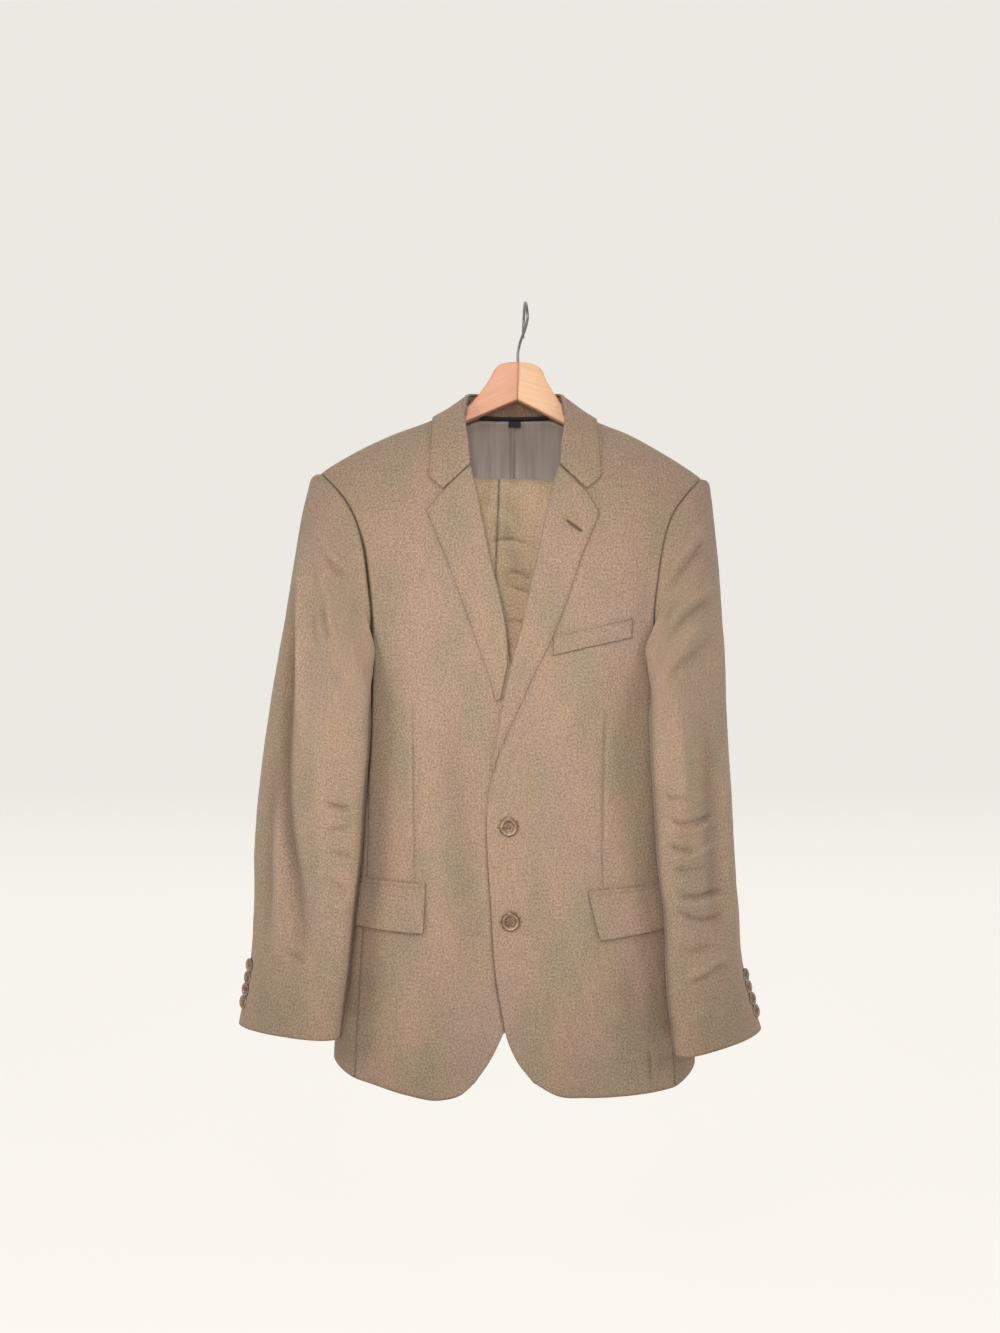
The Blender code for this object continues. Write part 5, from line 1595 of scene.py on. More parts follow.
def select_edges(obj: bpy.types.Object, test: Callable[[Vector, Vector], bool]) -> None:
    """Select the edges whose two ends pass a test, in edit mode."""
    bpy.ops.mesh.select_mode(type="EDGE")
    data = bmesh.from_edit_mesh(obj.data)
    for edge in data.edges:
        edge.select_set(test(edge.verts[0].co, edge.verts[1].co))
    bmesh.update_edit_mesh(obj.data)


def dress(obj: bpy.types.Object, finish: Any, slot: str, *nodes: str) -> bpy.types.Object:
    """Give a piece its finish, its body and the CAD nodes that it stands for."""
    obj.data.materials.clear()
    obj.data.materials.append(finish)
    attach(obj, "root")
    if nodes:
        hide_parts(*nodes)
    LOG.info("%s", obj.name)
    return obj


def tube(name: str, path: Array, radius: float, resolution: int) -> bpy.types.Object:
    """Round cord or wire through points in millimetres, as a mesh."""
    data = bpy.data.curves.new(name, "CURVE")
    data.dimensions = "3D"
    data.bevel_depth = radius * MM
    data.bevel_resolution = resolution
    data.use_fill_caps = True
    line = data.splines.new("POLY")
    line.points.add(len(path) - 1)
    for point, place in zip(line.points, path):
        point.co = (*(np.asarray(place) * MM), 1.0)
    obj = linked(name, data)
    activate(obj)
    bpy.ops.object.convert(target="MESH")
    obj = bpy.context.object
    obj.name = name
    obj.data.shade_smooth()
    return obj


def joined(name: str, pieces: Sequence[bpy.types.Object]) -> bpy.types.Object:
    """One object from several, at the origin."""
    for piece in pieces:
        settle(piece)
    activate(pieces[0])
    for piece in pieces[1:]:
        piece.select_set(True)
    if len(pieces) > 1:
        bpy.ops.object.join()
    obj = bpy.context.object
    obj.name = name
    return obj


@dataclass
class Pockets:
    """Breast welt and hip flaps with their jets."""

    form: JacketForm
    cloth: Cloth
    welt: Table = ((29, -382), (117, -361), (117, -382), (29, -402))
    flaps: dict[Side, Table] = per_side(
        ((-197, -651), (-110, -653), (-112, -709), (-197, -706)),
        ((67, -660), (173, -656), (173, -706), (80, -716)),
    )
    jet: float = 5.6

    def raised(self, side: Side, plane: Array, rise: Array) -> Array:
        """Points of a front moved out along its surface's own normals."""
        x, z = plane[..., 0], plane[..., 1]
        step = 0.5
        base = self.form.front
        slope_x = (base(side, x + step, z) - base(side, x - step, z)) / (2 * step)
        slope_z = (base(side, x, z + step) - base(side, x, z - step)) / (2 * step)
        normal = xyz(slope_x, -np.ones_like(x), slope_z)
        normal /= np.linalg.norm(normal, axis=-1, keepdims=True)
        return with_y(plane, base(side, x, z)) + normal * rise[..., None]

    def quad(self, corners: Table, u: Array, v: Array) -> Array:
        """Plane grid between four corners, clockwise from the top left."""
        a, b, c, d = (np.asarray(corner, float) for corner in corners)
        u, v = u[None, :, None], v[:, None, None]
        return (a * (1 - u) + b * u) * (1 - v) + (d * (1 - u) + c * u) * v

    def strip(self, name: str, side: Side, corners: Table, rise: float, nodes: Sequence[str], rows: int, columns: int,
              thickness: float, round_foot: float = 0.0, lift_foot: float = 0.0, jet: float = 0.0) -> None:
        """A flat piece of cloth on a front.

        Args:
            name: The piece's name.
            side: Which front it lies on.
            corners: Its corners in the front view, clockwise from the top left.
            rise: Height of its face over the front.
            nodes: CAD nodes that it replaces.
            rows: Grid rows.
            columns: Grid columns.
            thickness: Thickness of the cloth.
            round_foot: Radius of the lower corner towards the centre.
            lift_foot: How far the lower edge stands off.
            jet: Width of the jet along the top, over a groove.
        """
        u, v = np.linspace(0, 1, columns), np.linspace(0, 1, rows)
        plane = self.quad(corners, u, v)
        if round_foot:
            width = abs(corners[1][0] - corners[0][0])
            near = (1 - u if side is Side.LEFT else u) * width
            arc = np.sqrt(np.maximum(round_foot**2 - (round_foot - near) ** 2, 0))
            drop = np.where(near < round_foot, round_foot - arc, 0)
            plane[..., 1] += drop[None, :] * smoothstep((v[:, None] - 0.3) / 0.7) * 0.9
        gaps = edge_distances(with_y(plane, plane[..., 0] * 0))
        edge = np.minimum(np.minimum(gaps["left"], gaps["right"]), gaps["bottom"])
        soft = 0.7 * bell(edge / 1.6) + 0.3 * bell((edge - 4.5) / 1.0)
        height = rise - soft + lift_foot * smoothstep(v[:, None]) ** 2
        if jet:
            height = height - 1.3 * bell((gaps["top"] - jet) / 0.9) - 0.5 * bell(gaps["top"] / 1.2)
        aim = (float(plane[..., 0].mean()), 900, float(plane[..., 1].mean()))
        # Painted shade along the piece's edges.
        self.cloth.make(
            name, self.raised(side, plane, height), aim, nodes, thickness, painted_shading=-0.3 * bell(edge / 1.0),
            rests_on=[f"jacket_front_{side.value}"], held="laid",
        )

    def build(self) -> None:
        """The welt, and each flap under its two narrow jets."""
        self.strip("chest_welt_cloth", Side.RIGHT, self.welt, 2.3, ["chest_welt"], 34, 110, 1.5)
        for side, corners in self.flaps.items():
            self.strip(f"pocket_flap_{side.value}", side, corners, 2.5, [f"flap_{side.value}"], 58, 100, 1.4,
                       round_foot=2.0, lift_foot=3.4, jet=self.jet)


@dataclass
class Trousers:
    """Trousers folded flat and hung over the bar, their waistband at the back."""

    cloth: Cloth
    seam_x: float = -26.0
    bar_z: float = BAR_Z
    bar_radius: float = BAR_RADIUS
    front_drop: float = 530.0
    back_drop: float = 492.0
    ply: float = 2.6
    gap: float = 0.35
    waist: float = 38.0
    widths: Table = ((0, 98, 98), (0.25, 104, 103), (0.5, 112, 108), (0.72, 130, 112), (0.86, 144, 112), (1, 112, 106))
    creases: tuple[Crease, ...] = ()

    def path(self, offset: float, count: int) -> tuple[Array, Array, Array]:
        """Line over the bar at a distance from it: y, z and share of the leg."""
        radius = self.bar_radius + offset
        turn = np.radians(np.linspace(180, 0, 25))[1:-1]
        ahead, behind = np.linspace(1, 0, count) ** 1.5, np.linspace(0, 1, count // 3)
        front_z = self.bar_z - self.front_drop * ahead
        back_z = self.bar_z - self.back_drop * behind
        y = np.concatenate([np.full(count, -radius), radius * np.cos(turn), np.full(count // 3, radius)])
        z = np.concatenate([front_z, self.bar_z + radius * np.sin(turn), back_z])
        share = np.concatenate([0.5 - 0.5 * ahead, np.full(len(turn), 0.5), 0.5 + 0.5 * behind])
        return y, z, share

    def section(self, inner: float, column: int, sign: float, count: int, reaches: int) -> Array:
        """Rows of points for one panel of a folded leg, seam to seam round its crease."""
        outer, radius = inner + self.ply, self.ply / 2
        rows = np.asarray(self.widths, float)
        outs = [(outer, r, 0.0) for r in np.linspace(0, 1, reaches)]
        for angle in np.radians((30, 60, 90, 120, 150)):
            outs.append((inner + radius + radius * math.cos(angle), 1.0, radius * math.sin(angle)))
        outs += [(inner, r, 0.0) for r in np.linspace(1, 0, 12)]
        sections = []
        for offset, reach, bulge in outs:
            y, z, share = self.path(offset, count)
            width = spline(rows[:, 0], rows[:, column], share)
            x = self.seam_x + sign * (0.15 + reach * (width - radius - 0.15) + bulge * 0.7)
            sections.append(xyz(x, y, z))
        return np.stack(sections, axis=1)

    def build(self, tilt: Callable[[Array], Array]) -> None:
        """The inner leg, the outer leg's two panels and the waistband."""
        near = self.gap
        back, front = self.section(near, 1, -1.0, 60, 24), self.section(near, 2, 1.0, 60, 24)
        ring = np.concatenate([back, front[:, ::-1][:, 1:-1], back[:, :1]], axis=1)
        self.cloth.make(
            "trouser_leg_inner_cloth", tilt(ring), (self.seam_x, 0.0, self.bar_z), ["trouser_leg_inner"], 0.8,
            ring=True, held="folded",
        )
        far, reaches = near + self.ply + self.gap, 46
        for name, column, sign in (("front", 2, 1.0), ("back", 1, -1.0)):
            points = tilt(self.section(far, column, sign, 165, reaches))
            x, z = points[..., 0], points[..., 2]
            ahead = smoothstep(-points[..., 1] / 6)
            inward = edge_distances(points)["left"]
            seam = -0.35 * bell(inward / 1.6) + 0.4 * bell((inward - 5) / 3.0)
            fine = 0.4 * soft_noise(x, z, 22, 34, 5) + 0.25 * soft_noise(x, z, 9, 12, 6)
            outer = (np.arange(points.shape[1]) < reaches) * 1.0
            relief = (creased(self.creases, x, z) * ahead + fine + seam) * outer[None, :]
            # Painted shade in the troughs and painted light on the ridges; along the seam, painted light that cancels
            # the edges' painted shade.
            self.cloth.make(
                f"trouser_{name}_cloth", points, (self.seam_x + sign * 50, 0.0, self.bar_z), [f"trouser_{name}"], 0.8,
                relief=np.maximum(1.6 * relief, -1.6), held="folded", outside=self.cloth.wardrobe.trouser_linen_painted_light,
                painted_shading=0.25 * relief + 0.22 * bell(inward / 0.9), rests_on=["trouser_leg_inner_cloth"],
            )
        self.band(tilt, near, far)

    def band(self, tilt: Callable[[Array], Array], near: float, far: float) -> None:
        """The waistband, flattened round both legs."""
        inner, outer = self.bar_radius + near, self.bar_radius + far + self.ply
        left_x, right_x = self.widths[-1][1], self.widths[-1][2]
        turn = np.radians(np.linspace(90, 270, 13))
        middle, radius = (inner + outer) / 2, (outer - inner) / 2
        left = np.stack([self.seam_x - left_x + radius + radius * np.cos(turn), middle + radius * np.sin(turn)], -1)
        right = np.stack([self.seam_x + right_x - radius - radius * np.cos(turn), middle - radius * np.sin(turn)], -1)
        ring = along_straight(np.concatenate([left, right, left[:1]]), np.linspace(0, 1, 161))[None]
        z = self.bar_z - self.back_drop - self.gap - np.linspace(0, self.waist, 14)[:, None]
        points = xyz(ring[..., 0] + 0 * z, ring[..., 1] + 0 * z, z + 0 * ring[..., 0])
        self.cloth.make(
            "waistband_cloth", tilt(points), (self.seam_x, middle, self.bar_z - self.back_drop - self.waist / 2),
            ["waistband"], 1.0, ring=True, held="folded", rests_on=["trouser_front_cloth"],
        )


@dataclass
class HangerWood:
    """Flat wooden hanger of two arms and a round bar, with its wire hook."""

    wardrobe: Wardrobe
    x: float = -8.0
    pivot_z: float = -90.0
    tilt: float = 2.0
    depth: float = 13.0
    edge: float = 2.2
    bar_half: float = 176.0
    top: Table = (
        (0, -66.4), (12, -67.3), (22, -70.5), (27.5, -76), (31, -84), (36, -92.5), (43, -103), (56, -118.2),
        (68, -126.5), (97, -142), (130, -155), (161, -169), (182, -181), (193, -190), (197, -200),
    )
    foot: Table = (
        (194, -212), (183, -221), (172, -215), (163, -199), (140, -180), (97, -157.5), (58, -137), (0, -109.6),
    )
    hook: Table = ()

    def tilted(self, points: Array) -> Array:
        """Points turned about the hanger's middle by its tilt, the right side down."""
        points = np.asarray(points, float).copy()
        angle = math.radians(self.tilt)
        x, z = points[..., 0] - self.x, points[..., 2] - self.pivot_z
        points[..., 0] = self.x + x * math.cos(angle) + z * math.sin(angle)
        points[..., 2] = self.pivot_z - x * math.sin(angle) + z * math.cos(angle)
        return points

    def arm(self, side: Side) -> bpy.types.Object:
        """One arm, from its outline in the front view, with rounded edges."""
        top = along(self.top, np.linspace(0, 1, 70))
        foot = along((self.top[-1],) + self.foot, np.linspace(0, 1, 60))[1:]
        outline = np.concatenate([top, foot])
        outline[:, 0] = np.maximum(outline[:, 0], 0.1)
        name = f"hanger_arm_{side.value}"
        data = bpy.data.curves.new(name, "CURVE")
        data.dimensions = "2D"
        data.fill_mode = "BOTH"
        data.extrude = (self.depth / 2 - self.edge) * MM
        data.bevel_depth = self.edge * MM
        data.bevel_resolution = 4
        data.offset = -self.edge * MM
        line = data.splines.new("POLY")
        line.points.add(len(outline) - 1)
        for point, (px, pz) in zip(line.points, outline):
            point.co = (side.sign * px * MM, (pz - self.pivot_z) * MM, 0.0, 1.0)
        line.use_cyclic_u = True
        activate(linked(name, data))
        bpy.ops.object.convert(target="MESH")
        obj = bpy.context.object
        obj.location = (self.x * MM, 0.0, self.pivot_z * MM)
        obj.rotation_euler = (math.pi / 2, math.radians(self.tilt), 0)
        settle(obj)
        with editing(obj):
            bpy.ops.mesh.select_all(action="SELECT")
            bpy.ops.mesh.remove_doubles(threshold=0.00001)
            bpy.ops.mesh.normals_make_consistent(inside=False)
        obj.name = name
        bpy.ops.object.shade_smooth_by_angle(angle=math.radians(30))
        return obj

    def build(self) -> None:
        """Both arms, the bar and the hook."""
        for side in Side:
            finish = self.wardrobe.wood_left if side is Side.LEFT else self.wardrobe.wood_right
            dress(self.arm(side), finish, "wood", "hanger")
        ends = self.tilted(np.array([(self.x - self.bar_half, 0, BAR_Z), (self.x + self.bar_half, 0, BAR_Z)])) * MM
        fresh()
        bpy.ops.mesh.primitive_cylinder_add(
            vertices=40, radius=BAR_RADIUS * MM, depth=2 * self.bar_half * MM, location=ends.mean(axis=0),
            rotation=(0, math.pi / 2 + math.radians(self.tilt), 0),
        )
        bar = bpy.context.object
        bar.name = "trouser_bar"
        with editing(bar):
            select_faces(bar, lambda place, normal: abs(normal.z) > 0.9)
            bpy.ops.mesh.bevel(offset=0.8 * MM, segments=3)
        settle(bar)
        bpy.ops.object.shade_smooth_by_angle(angle=math.radians(30))
        dress(bar, self.wardrobe.wood_right, "wood", "hanger")
        self.wire()

    def wire(self) -> None:
        """The hook: a leaning stem and an open loop, its end rounded."""
        stem = along(self.hook, np.linspace(0, 1, 40))
        turn = np.radians(np.linspace(188, -48, 80))
        loop = np.stack(
            [np.interp(turn, np.radians([-48, 90, 188]), [-2.0, 0.0, 2.6]), 20.0 * np.cos(turn),
             1.6 - 20.0 + 20.0 * np.sin(turn)], axis=-1,
        )
        obj = tube("hook_wire", np.concatenate([stem[:-1], loop]), 1.6, 8)
        dress(obj, self.wardrobe.wire, "hook", "hanger_hook")


@dataclass
class Buttons:
    """Front and cuff buttons: one horn button modelled once and copied."""

    form: JacketForm
    sleeves: Sleeves
    wardrobe: Wardrobe
    front_size: tuple[float, float] = (10.0, 3.4)
    cuff_size: tuple[float, float] = (7.4, 2.8)
    cuff_angle: float = 19.0
    cuff_tip: float = 0.35
    pitch: float = 14.0
    cuff_start: dict[Side, float] = per_side(26.0, 22.0)

    def blank_button(self, radius: float, height: float) -> bpy.types.Object:
        """A four-hole button lying face up at the origin, modelled from a disc."""
        r = radius * MM
        fresh()
        bpy.ops.mesh.primitive_cylinder_add(vertices=48, radius=r, depth=height * MM, location=(0, 0, height * MM / 2))
        obj = bpy.context.object
        top = height * MM

        def face_up(place: Vector, normal: Vector) -> bool:
            """The middle face of the upper side."""
            return normal.z > 0.9 and place.xy.length < r * 0.2

        with editing(obj):
            bpy.ops.mesh.select_mode(type="FACE")
            for width, sink in ((0.09, 0.0), (0.13, 0.0), (0.12, 0.36), (0.08, 0.02)):
                select_faces(obj, face_up)
                bpy.ops.mesh.inset(thickness=r * width)
                if sink:
                    bpy.ops.transform.translate(value=(0, 0, -sink * top))
        bevel = obj.modifiers.new("ease", "BEVEL")
        bevel.width = 0.05 * r
        bevel.segments = 3
        bevel.limit_method = "ANGLE"
        bevel.angle_limit = math.radians(25)
        activate(obj)
        bpy.ops.object.modifier_apply(modifier="ease")
        for k in range(4):
            angle = math.radians(45 + 90 * k)
            spot = (0.17 * r * math.cos(angle) * 1.25, 0.17 * r * math.sin(angle) * 1.25, top / 2)
            fresh()
            bpy.ops.mesh.primitive_cylinder_add(vertices=14, radius=0.1 * r, depth=3 * top, location=spot)
            drill = bpy.context.object
            cut = obj.modifiers.new("hole", "BOOLEAN")
            cut.operation, cut.solver, cut.object = "DIFFERENCE", "EXACT", drill
            activate(obj)
            bpy.ops.object.modifier_apply(modifier="hole")
            bpy.data.objects.remove(drill)
        activate(obj)
        bpy.ops.object.shade_smooth_by_angle(angle=math.radians(28))
        while obj.data.uv_layers:
            obj.data.uv_layers.remove(obj.data.uv_layers[0])
        layer = obj.data.uv_layers.new(name="turned")
        for loop in obj.data.loops:
            place = obj.data.vertices[loop.vertex_index].co
            layer.data[loop.index].uv = (place.x / r, place.y / r)
        return obj

    def threads(self, radius: float, height: float) -> bpy.types.Object:
        """The sewing through the four holes, as two crossed bars of thread."""
        r = radius * MM
        bars = []
        for angle in (45, -45):
            fresh()
            bpy.ops.mesh.primitive_cylinder_add(
                vertices=10, radius=0.045 * r, depth=0.46 * r, location=(0, 0, height * MM * 0.72),
                rotation=(math.pi / 2, 0, math.radians(angle)),
            )
            bar = bpy.context.object
            with editing(bar):
                bpy.ops.mesh.select_all(action="SELECT")
                bpy.ops.mesh.subdivide(number_cuts=1)
            bars.append(bar)
        obj = joined("button_thread", bars)
        obj.data.shade_smooth()
        return obj

    def place(self, source: bpy.types.Object, name: str, spot: Sequence[float], normal: Sequence[float],
              spin: float) -> bpy.types.Object:
        """A copy of a button, its own mesh, its face towards a normal."""
        copy = source.copy()
        copy.data = source.data.copy()
        copy.name = name
        bpy.context.collection.objects.link(copy)
        turn = Vector(normal).to_track_quat("Z", "Y").to_matrix().to_4x4()
        copy.matrix_world = Matrix.Translation(Vector(spot) * MM) @ turn @ Matrix.Rotation(math.radians(spin), 4, "Z")
        return copy

    def build(self) -> None:
        """Two front buttons and four on each cuff, with their thread."""
        large, small = self.blank_button(*self.front_size), self.blank_button(*self.cuff_size)
        thread, thin = self.threads(*self.front_size), self.threads(*self.cuff_size)
        for name, (x, z) in BUTTON_SPOTS.items():
            y = float(self.form.front(Side.RIGHT, np.array(x), np.array(z))) - 0.7
            obj = self.place(large, f"horn_button_{name}", (x, y, z), (0, -1, 0), 12)
            settle(obj)
            dress(obj, self.wardrobe.horn, "horn", f"button_{name}")
            sewn = self.place(thread, f"button_thread_{name}", (x, y, z), (0, -1, 0), 12)
            settle(sewn)
            dress(sewn, self.wardrobe.thread, "trim")
        for side in Side:
            shares = np.linspace(1, 0.6, 401)
            line, near = (
                self.sleeves.surface(side, shares, np.full((len(shares), 1), self.cuff_angle + more))[:, 0]
                for more in (0.0, 6.0)
            )
            run = lengths_along(line)
            discs, threads = [], []
            for k in range(4):
                i = int(np.argmin(np.abs(run - self.cuff_start[side] - self.pitch * k)))
                normal = np.cross(near[i] - line[i], line[i - 12] - line[i + 12])
                normal *= side.sign / math.copysign(np.linalg.norm(normal), normal[0])
                normal = normal + np.array([0.0, -self.cuff_tip, 0.0])
                normal /= np.linalg.norm(normal)
                spot = line[i] + normal * (0.9 + 0.25 * (k % 2))
                discs.append(self.place(small, f"cuff_{side.value}_{k}", spot, normal, 20 * k))
                threads.append(self.place(thin, f"cuff_thread_{side.value}_{k}", spot, normal, 20 * k))
            dress(joined(f"horn_cuff_{side.value}", discs), self.wardrobe.horn, "horn", f"cuff_buttons_{side.value}")
            dress(joined(f"cuff_thread_{side.value}", threads), self.wardrobe.thread, "trim")
        for source in (large, small, thread, thin):
            bpy.data.objects.remove(source)


@dataclass
class Stitching:
    """Hand-look pick stitches along the lapels, collar and front edge, the dart seams and the worked buttonholes."""

    form: JacketForm
    body: JacketBody
    lapels: Lapels
    collar: Collar
    wardrobe: Wardrobe
    pitch: float = 5.5
    length: float = 1.7
    inward: float = 3.2

    def stitched(self, name: str, lines: Sequence[tuple[Array, Array]], size: float = 0.28) -> bpy.types.Object:
        """Short stitches along lines.

        Args:
            name: The piece's name.
            lines: Points in millimetres and the surface's normals there, for each line.
            size: Radius of the thread.

        Returns:
            The new object, all its stitches in one mesh.
        """
        ring = np.radians(np.arange(6) * 60)
        verts: list[Array] = []
        faces: list[tuple[int, ...]] = []
        for points, normals in lines:
            run = lengths_along(points)
            for start in np.arange(self.pitch * 0.5, run[-1] - self.length, self.pitch):
                ends = [np.array([np.interp(start + d, run, points[:, k]) for k in range(3)]) for d in (0, self.length)]
                lift = np.array([np.interp(start, run, normals[:, k]) for k in range(3)])
                way = (ends[1] - ends[0]) / np.linalg.norm(ends[1] - ends[0])
                beside = np.cross(way, lift)
                base = len(verts)
                for share, bulge in ((0.0, 0.35), (0.3, 1.0), (0.7, 1.0), (1.0, 0.35)):
                    heart = ends[0] * (1 - share) + ends[1] * share + lift * (0.12 if 0 < share < 1 else -0.12)
                    for angle in ring:
                        verts.append(heart + size * bulge * (beside * math.cos(angle) + lift * math.sin(angle)))
                for k in range(3):
                    for j in range(6):
                        a, b = base + k * 6 + j, base + k * 6 + (j + 1) % 6
                        faces.append((a, b, b + 6, a + 6))
                faces.append(tuple(base + j for j in range(5, -1, -1)))
                faces.append(tuple(base + 18 + j for j in range(6)))
        mesh = bpy.data.meshes.new(name)
        mesh.from_pydata((np.array(verts) * MM).tolist(), [], faces)
        mesh.shade_smooth()
        obj = linked(name, mesh)
        with editing(obj):
            bpy.ops.mesh.select_all(action="SELECT")
            bpy.ops.mesh.normals_make_consistent(inside=False)
        return obj

    def edge_line(self, points: Array, aim: Sequence[float]) -> tuple[Array, Array]:
        """Line just inside a grid's last column, with its normals."""
        line, lifts = [], []
        for row, away, lift in zip(points, edge_distances(points)["right"], surface_normals(points, aim)):
            order = np.argsort(away)
            line.append([np.interp(self.inward, away[order], row[order, k]) for k in range(3)])
            lifts.append([np.interp(self.inward, away[order], lift[order, k]) for k in range(3)])
        return np.asarray(line), np.asarray(lifts)

    def build(self) -> None:
        """Pick stitches, the lapel's buttonhole and the two front buttonholes."""
        lines = [self.edge_line(self.lapels.points(side, 52), self.lapels.aim(side)) for side in Side]
        dress(self.stitched("lapel_pick_stitches", lines), self.wardrobe.thread, "trim")
        line = self.edge_line(self.collar.fall_points(), self.collar.aim)
        dress(self.stitched("collar_pick_stitches", [line]), self.wardrobe.thread, "trim")
        self.darts()
        self.buttonhole("lapel_buttonhole", (43.5, -253.5), (61.5, -266.5), 2.0, 3.3)
        self.buttonhole("front_buttonhole_upper", (-31.5, -590.0), (-12.0, -590.5), 1.3, 0.3)
        self.buttonhole("front_buttonhole_lower", (-29.5, -693.6), (-10.0, -694.2), 1.3, 0.3)

    def darts(self) -> None:
        """Sewn lines of the front darts, as cords darker than the linen that are partly painted shade of each dart's
        fold, and pick stitches along the front edge below the lapel.
        """
        for side in Side:
            plane = along(self.body.dart[side], np.linspace(0, 1, 90))
            seam = with_y(plane, self.form.front(side, plane[:, 0], plane[:, 1]) + 0.75)
            # A cord a little darker than the linen along each dart: the seam line, and painted shade of its fold.
            dress(tube(f"dart_seam_and_shade_{side.value}", seam, 0.55, 2), self.wardrobe.thread, "trim")
        plane = self.body.centre_edge(Side.RIGHT, np.linspace(0.56, 1, 160)) + np.array([4.6, 0.0])
        line = with_y(plane, self.form.front(Side.RIGHT, plane[:, 0], plane[:, 1]))
        normals = np.tile(np.array([0.0, -1.0, 0.0]), (len(line), 1))
        dress(self.stitched("front_pick_stitches", [(line, normals)]), self.wardrobe.thread, "trim")

    def buttonhole(self, name: str, start: tuple[float, float], end: tuple[float, float], half: float,
                   rise: float) -> None:
        """A worked buttonhole on the right front: close stitches round a slit.

        Args:
            name: The piece's name.
            start: Its keyhole end in the front view.
            end: Its other end.
            half: Half width of the work.
            rise: Height of the cloth it is worked on, over the front.
        """
        a, b = np.asarray(start, float), np.asarray(end, float)
        length = float(np.linalg.norm(b - a))
        way = (b - a) / length
        beside = np.array([-way[1], way[0]])
        turn = np.linspace(0, 2 * np.pi, 61)
        across = length / 2 + (length / 2) * np.cos(turn) * (1 - 0.04 * np.cos(turn))
        across = np.clip(across, -0.2, length + 0.2)[:, None]
        plane = a + across * way + (half * np.sin(turn))[:, None] * beside
        line = with_y(plane, self.form.front(Side.RIGHT, plane[:, 0], plane[:, 1]) - rise - 0.1)
        cord = tube(f"{name}_cord", line, 0.55, 3)
        plane = a + np.linspace(0.06, 0.94, 16)[:, None] * (b - a)
        line = with_y(plane, self.form.front(Side.RIGHT, plane[:, 0], plane[:, 1]) - rise + 0.1)
        # The slit is a near-black cord: painted shade in the opening.
        dress(tube(f"{name}_slit", line, 0.5, 2), self.wardrobe.tape, "trim")
        dress(joined(name, [cord]), self.wardrobe.thread, "trim")


@dataclass
class Studio:
    """Pale floor, soft light and the photograph's camera."""

    floor_z: float = -1.27
    camera_at: tuple[float, float, float] = (-0.0286, -1.3, -0.4136)
    focal: float = 36 * (1300 / 1.144) / 1333
    aim: tuple[float, float, float] = (-0.03, 0.0, -0.48)

    def lamp(self, name: str, kind: str, place: Sequence[float], target: Sequence[float], power: float, tint: str,
             **shape: Any) -> None:
        """A light aimed at a target, its shape given as properties of its data."""
        data = bpy.data.lights.new(name, kind)
        for key, value in shape.items():
            setattr(data, key, value)
        data.energy = power
        data.color = colour(tint)[:3]
        obj = bpy.data.objects.new(name, data)
        obj.location = place
        obj.rotation_euler = (Vector(target) - Vector(place)).to_track_quat("-Z", "Y").to_euler()
        bpy.context.scene.collection.objects.link(obj)

    def light(self, name: str, place: Sequence[float], size: float, power: float, tint: str) -> None:
        """A soft square light aimed at the jacket."""
        self.lamp(name, "AREA", place, self.aim, power, tint, shape="SQUARE", size=size)

    def spot(self, name: str, place: Sequence[float], angle: float, power: float, tint: str,
             target: Sequence[float]) -> None:
        """A soft round spot of light aimed at a target."""
        self.lamp(name, "SPOT", place, target, power, tint, spot_size=math.radians(angle), spot_blend=1.0,
                  shadow_soft_size=0.12)

    def build(self) -> None:
        """Floor, lights, air and camera."""
        fresh()
        bpy.ops.mesh.primitive_grid_add(x_subdivisions=8, y_subdivisions=8, size=14.0, location=(0, 0, self.floor_z))
        floor = bpy.context.object
        floor.name = "studio_floor"
        settle(floor)
        floor.data.materials.append(PaleFloor().build())
        self.light("key_light", (-1.15, -0.95, 0.0), 0.5, 6.0, "#fffcf6")
        self.light("fill_light", (1.15, -1.2, 0.1), 0.7, 5.6, "#fffcf6")
        self.light("top_light", (0.1, 0.3, 1.2), 1.2, 3.0, "#ffffff")
        self.light("high_light", (-0.05, -1.35, 0.35), 0.4, 3.8, "#fffcf8")
        self.spot("centre_light", (-0.1, -1.45, -0.3), 38.0, 42.5, "#fffcf8", (-0.04, 0.0, -0.54))
        self.spot("neck_light", (-0.03, -1.5, -0.2), 17.0, 12.0, "#fffcf8", (-0.01, 0.0, -0.2))
        world = bpy.data.worlds.new("studio_air")
        world.use_nodes = True
        air = world.node_tree.nodes["Background"]
        air.inputs[0].default_value = colour("#ece9e3")
        # The air is bright behind the suit and dimmer before it, as in a room lit from the wall.
        way = add_node(world.node_tree, "ShaderNodeTexCoord").outputs["Generated"]
        parts = add_node(world.node_tree, "ShaderNodeSeparateXYZ", {0: way})
        level = add_node(
            world.node_tree, "ShaderNodeMapRange", {"Value": parts.outputs["Y"]}, interpolation_type="SMOOTHSTEP",
            From_Min=-0.5, From_Max=0.75, To_Min=0.36, To_Max=1.0,
        )
        world.node_tree.links.new(level.outputs[0], air.inputs[1])
        scene = bpy.context.scene
        scene.world = world
        scene.view_settings.view_transform = "Standard"
        data = bpy.data.cameras.new("photo_camera")
        data.sensor_fit = "VERTICAL"
        data.sensor_height = 36.0
        data.lens = self.focal
        camera = bpy.data.objects.new("photo_camera", data)
        camera.location = self.camera_at
        camera.rotation_euler = (math.pi / 2, 0, 0)
        scene.collection.objects.link(camera)
        scene.camera = camera


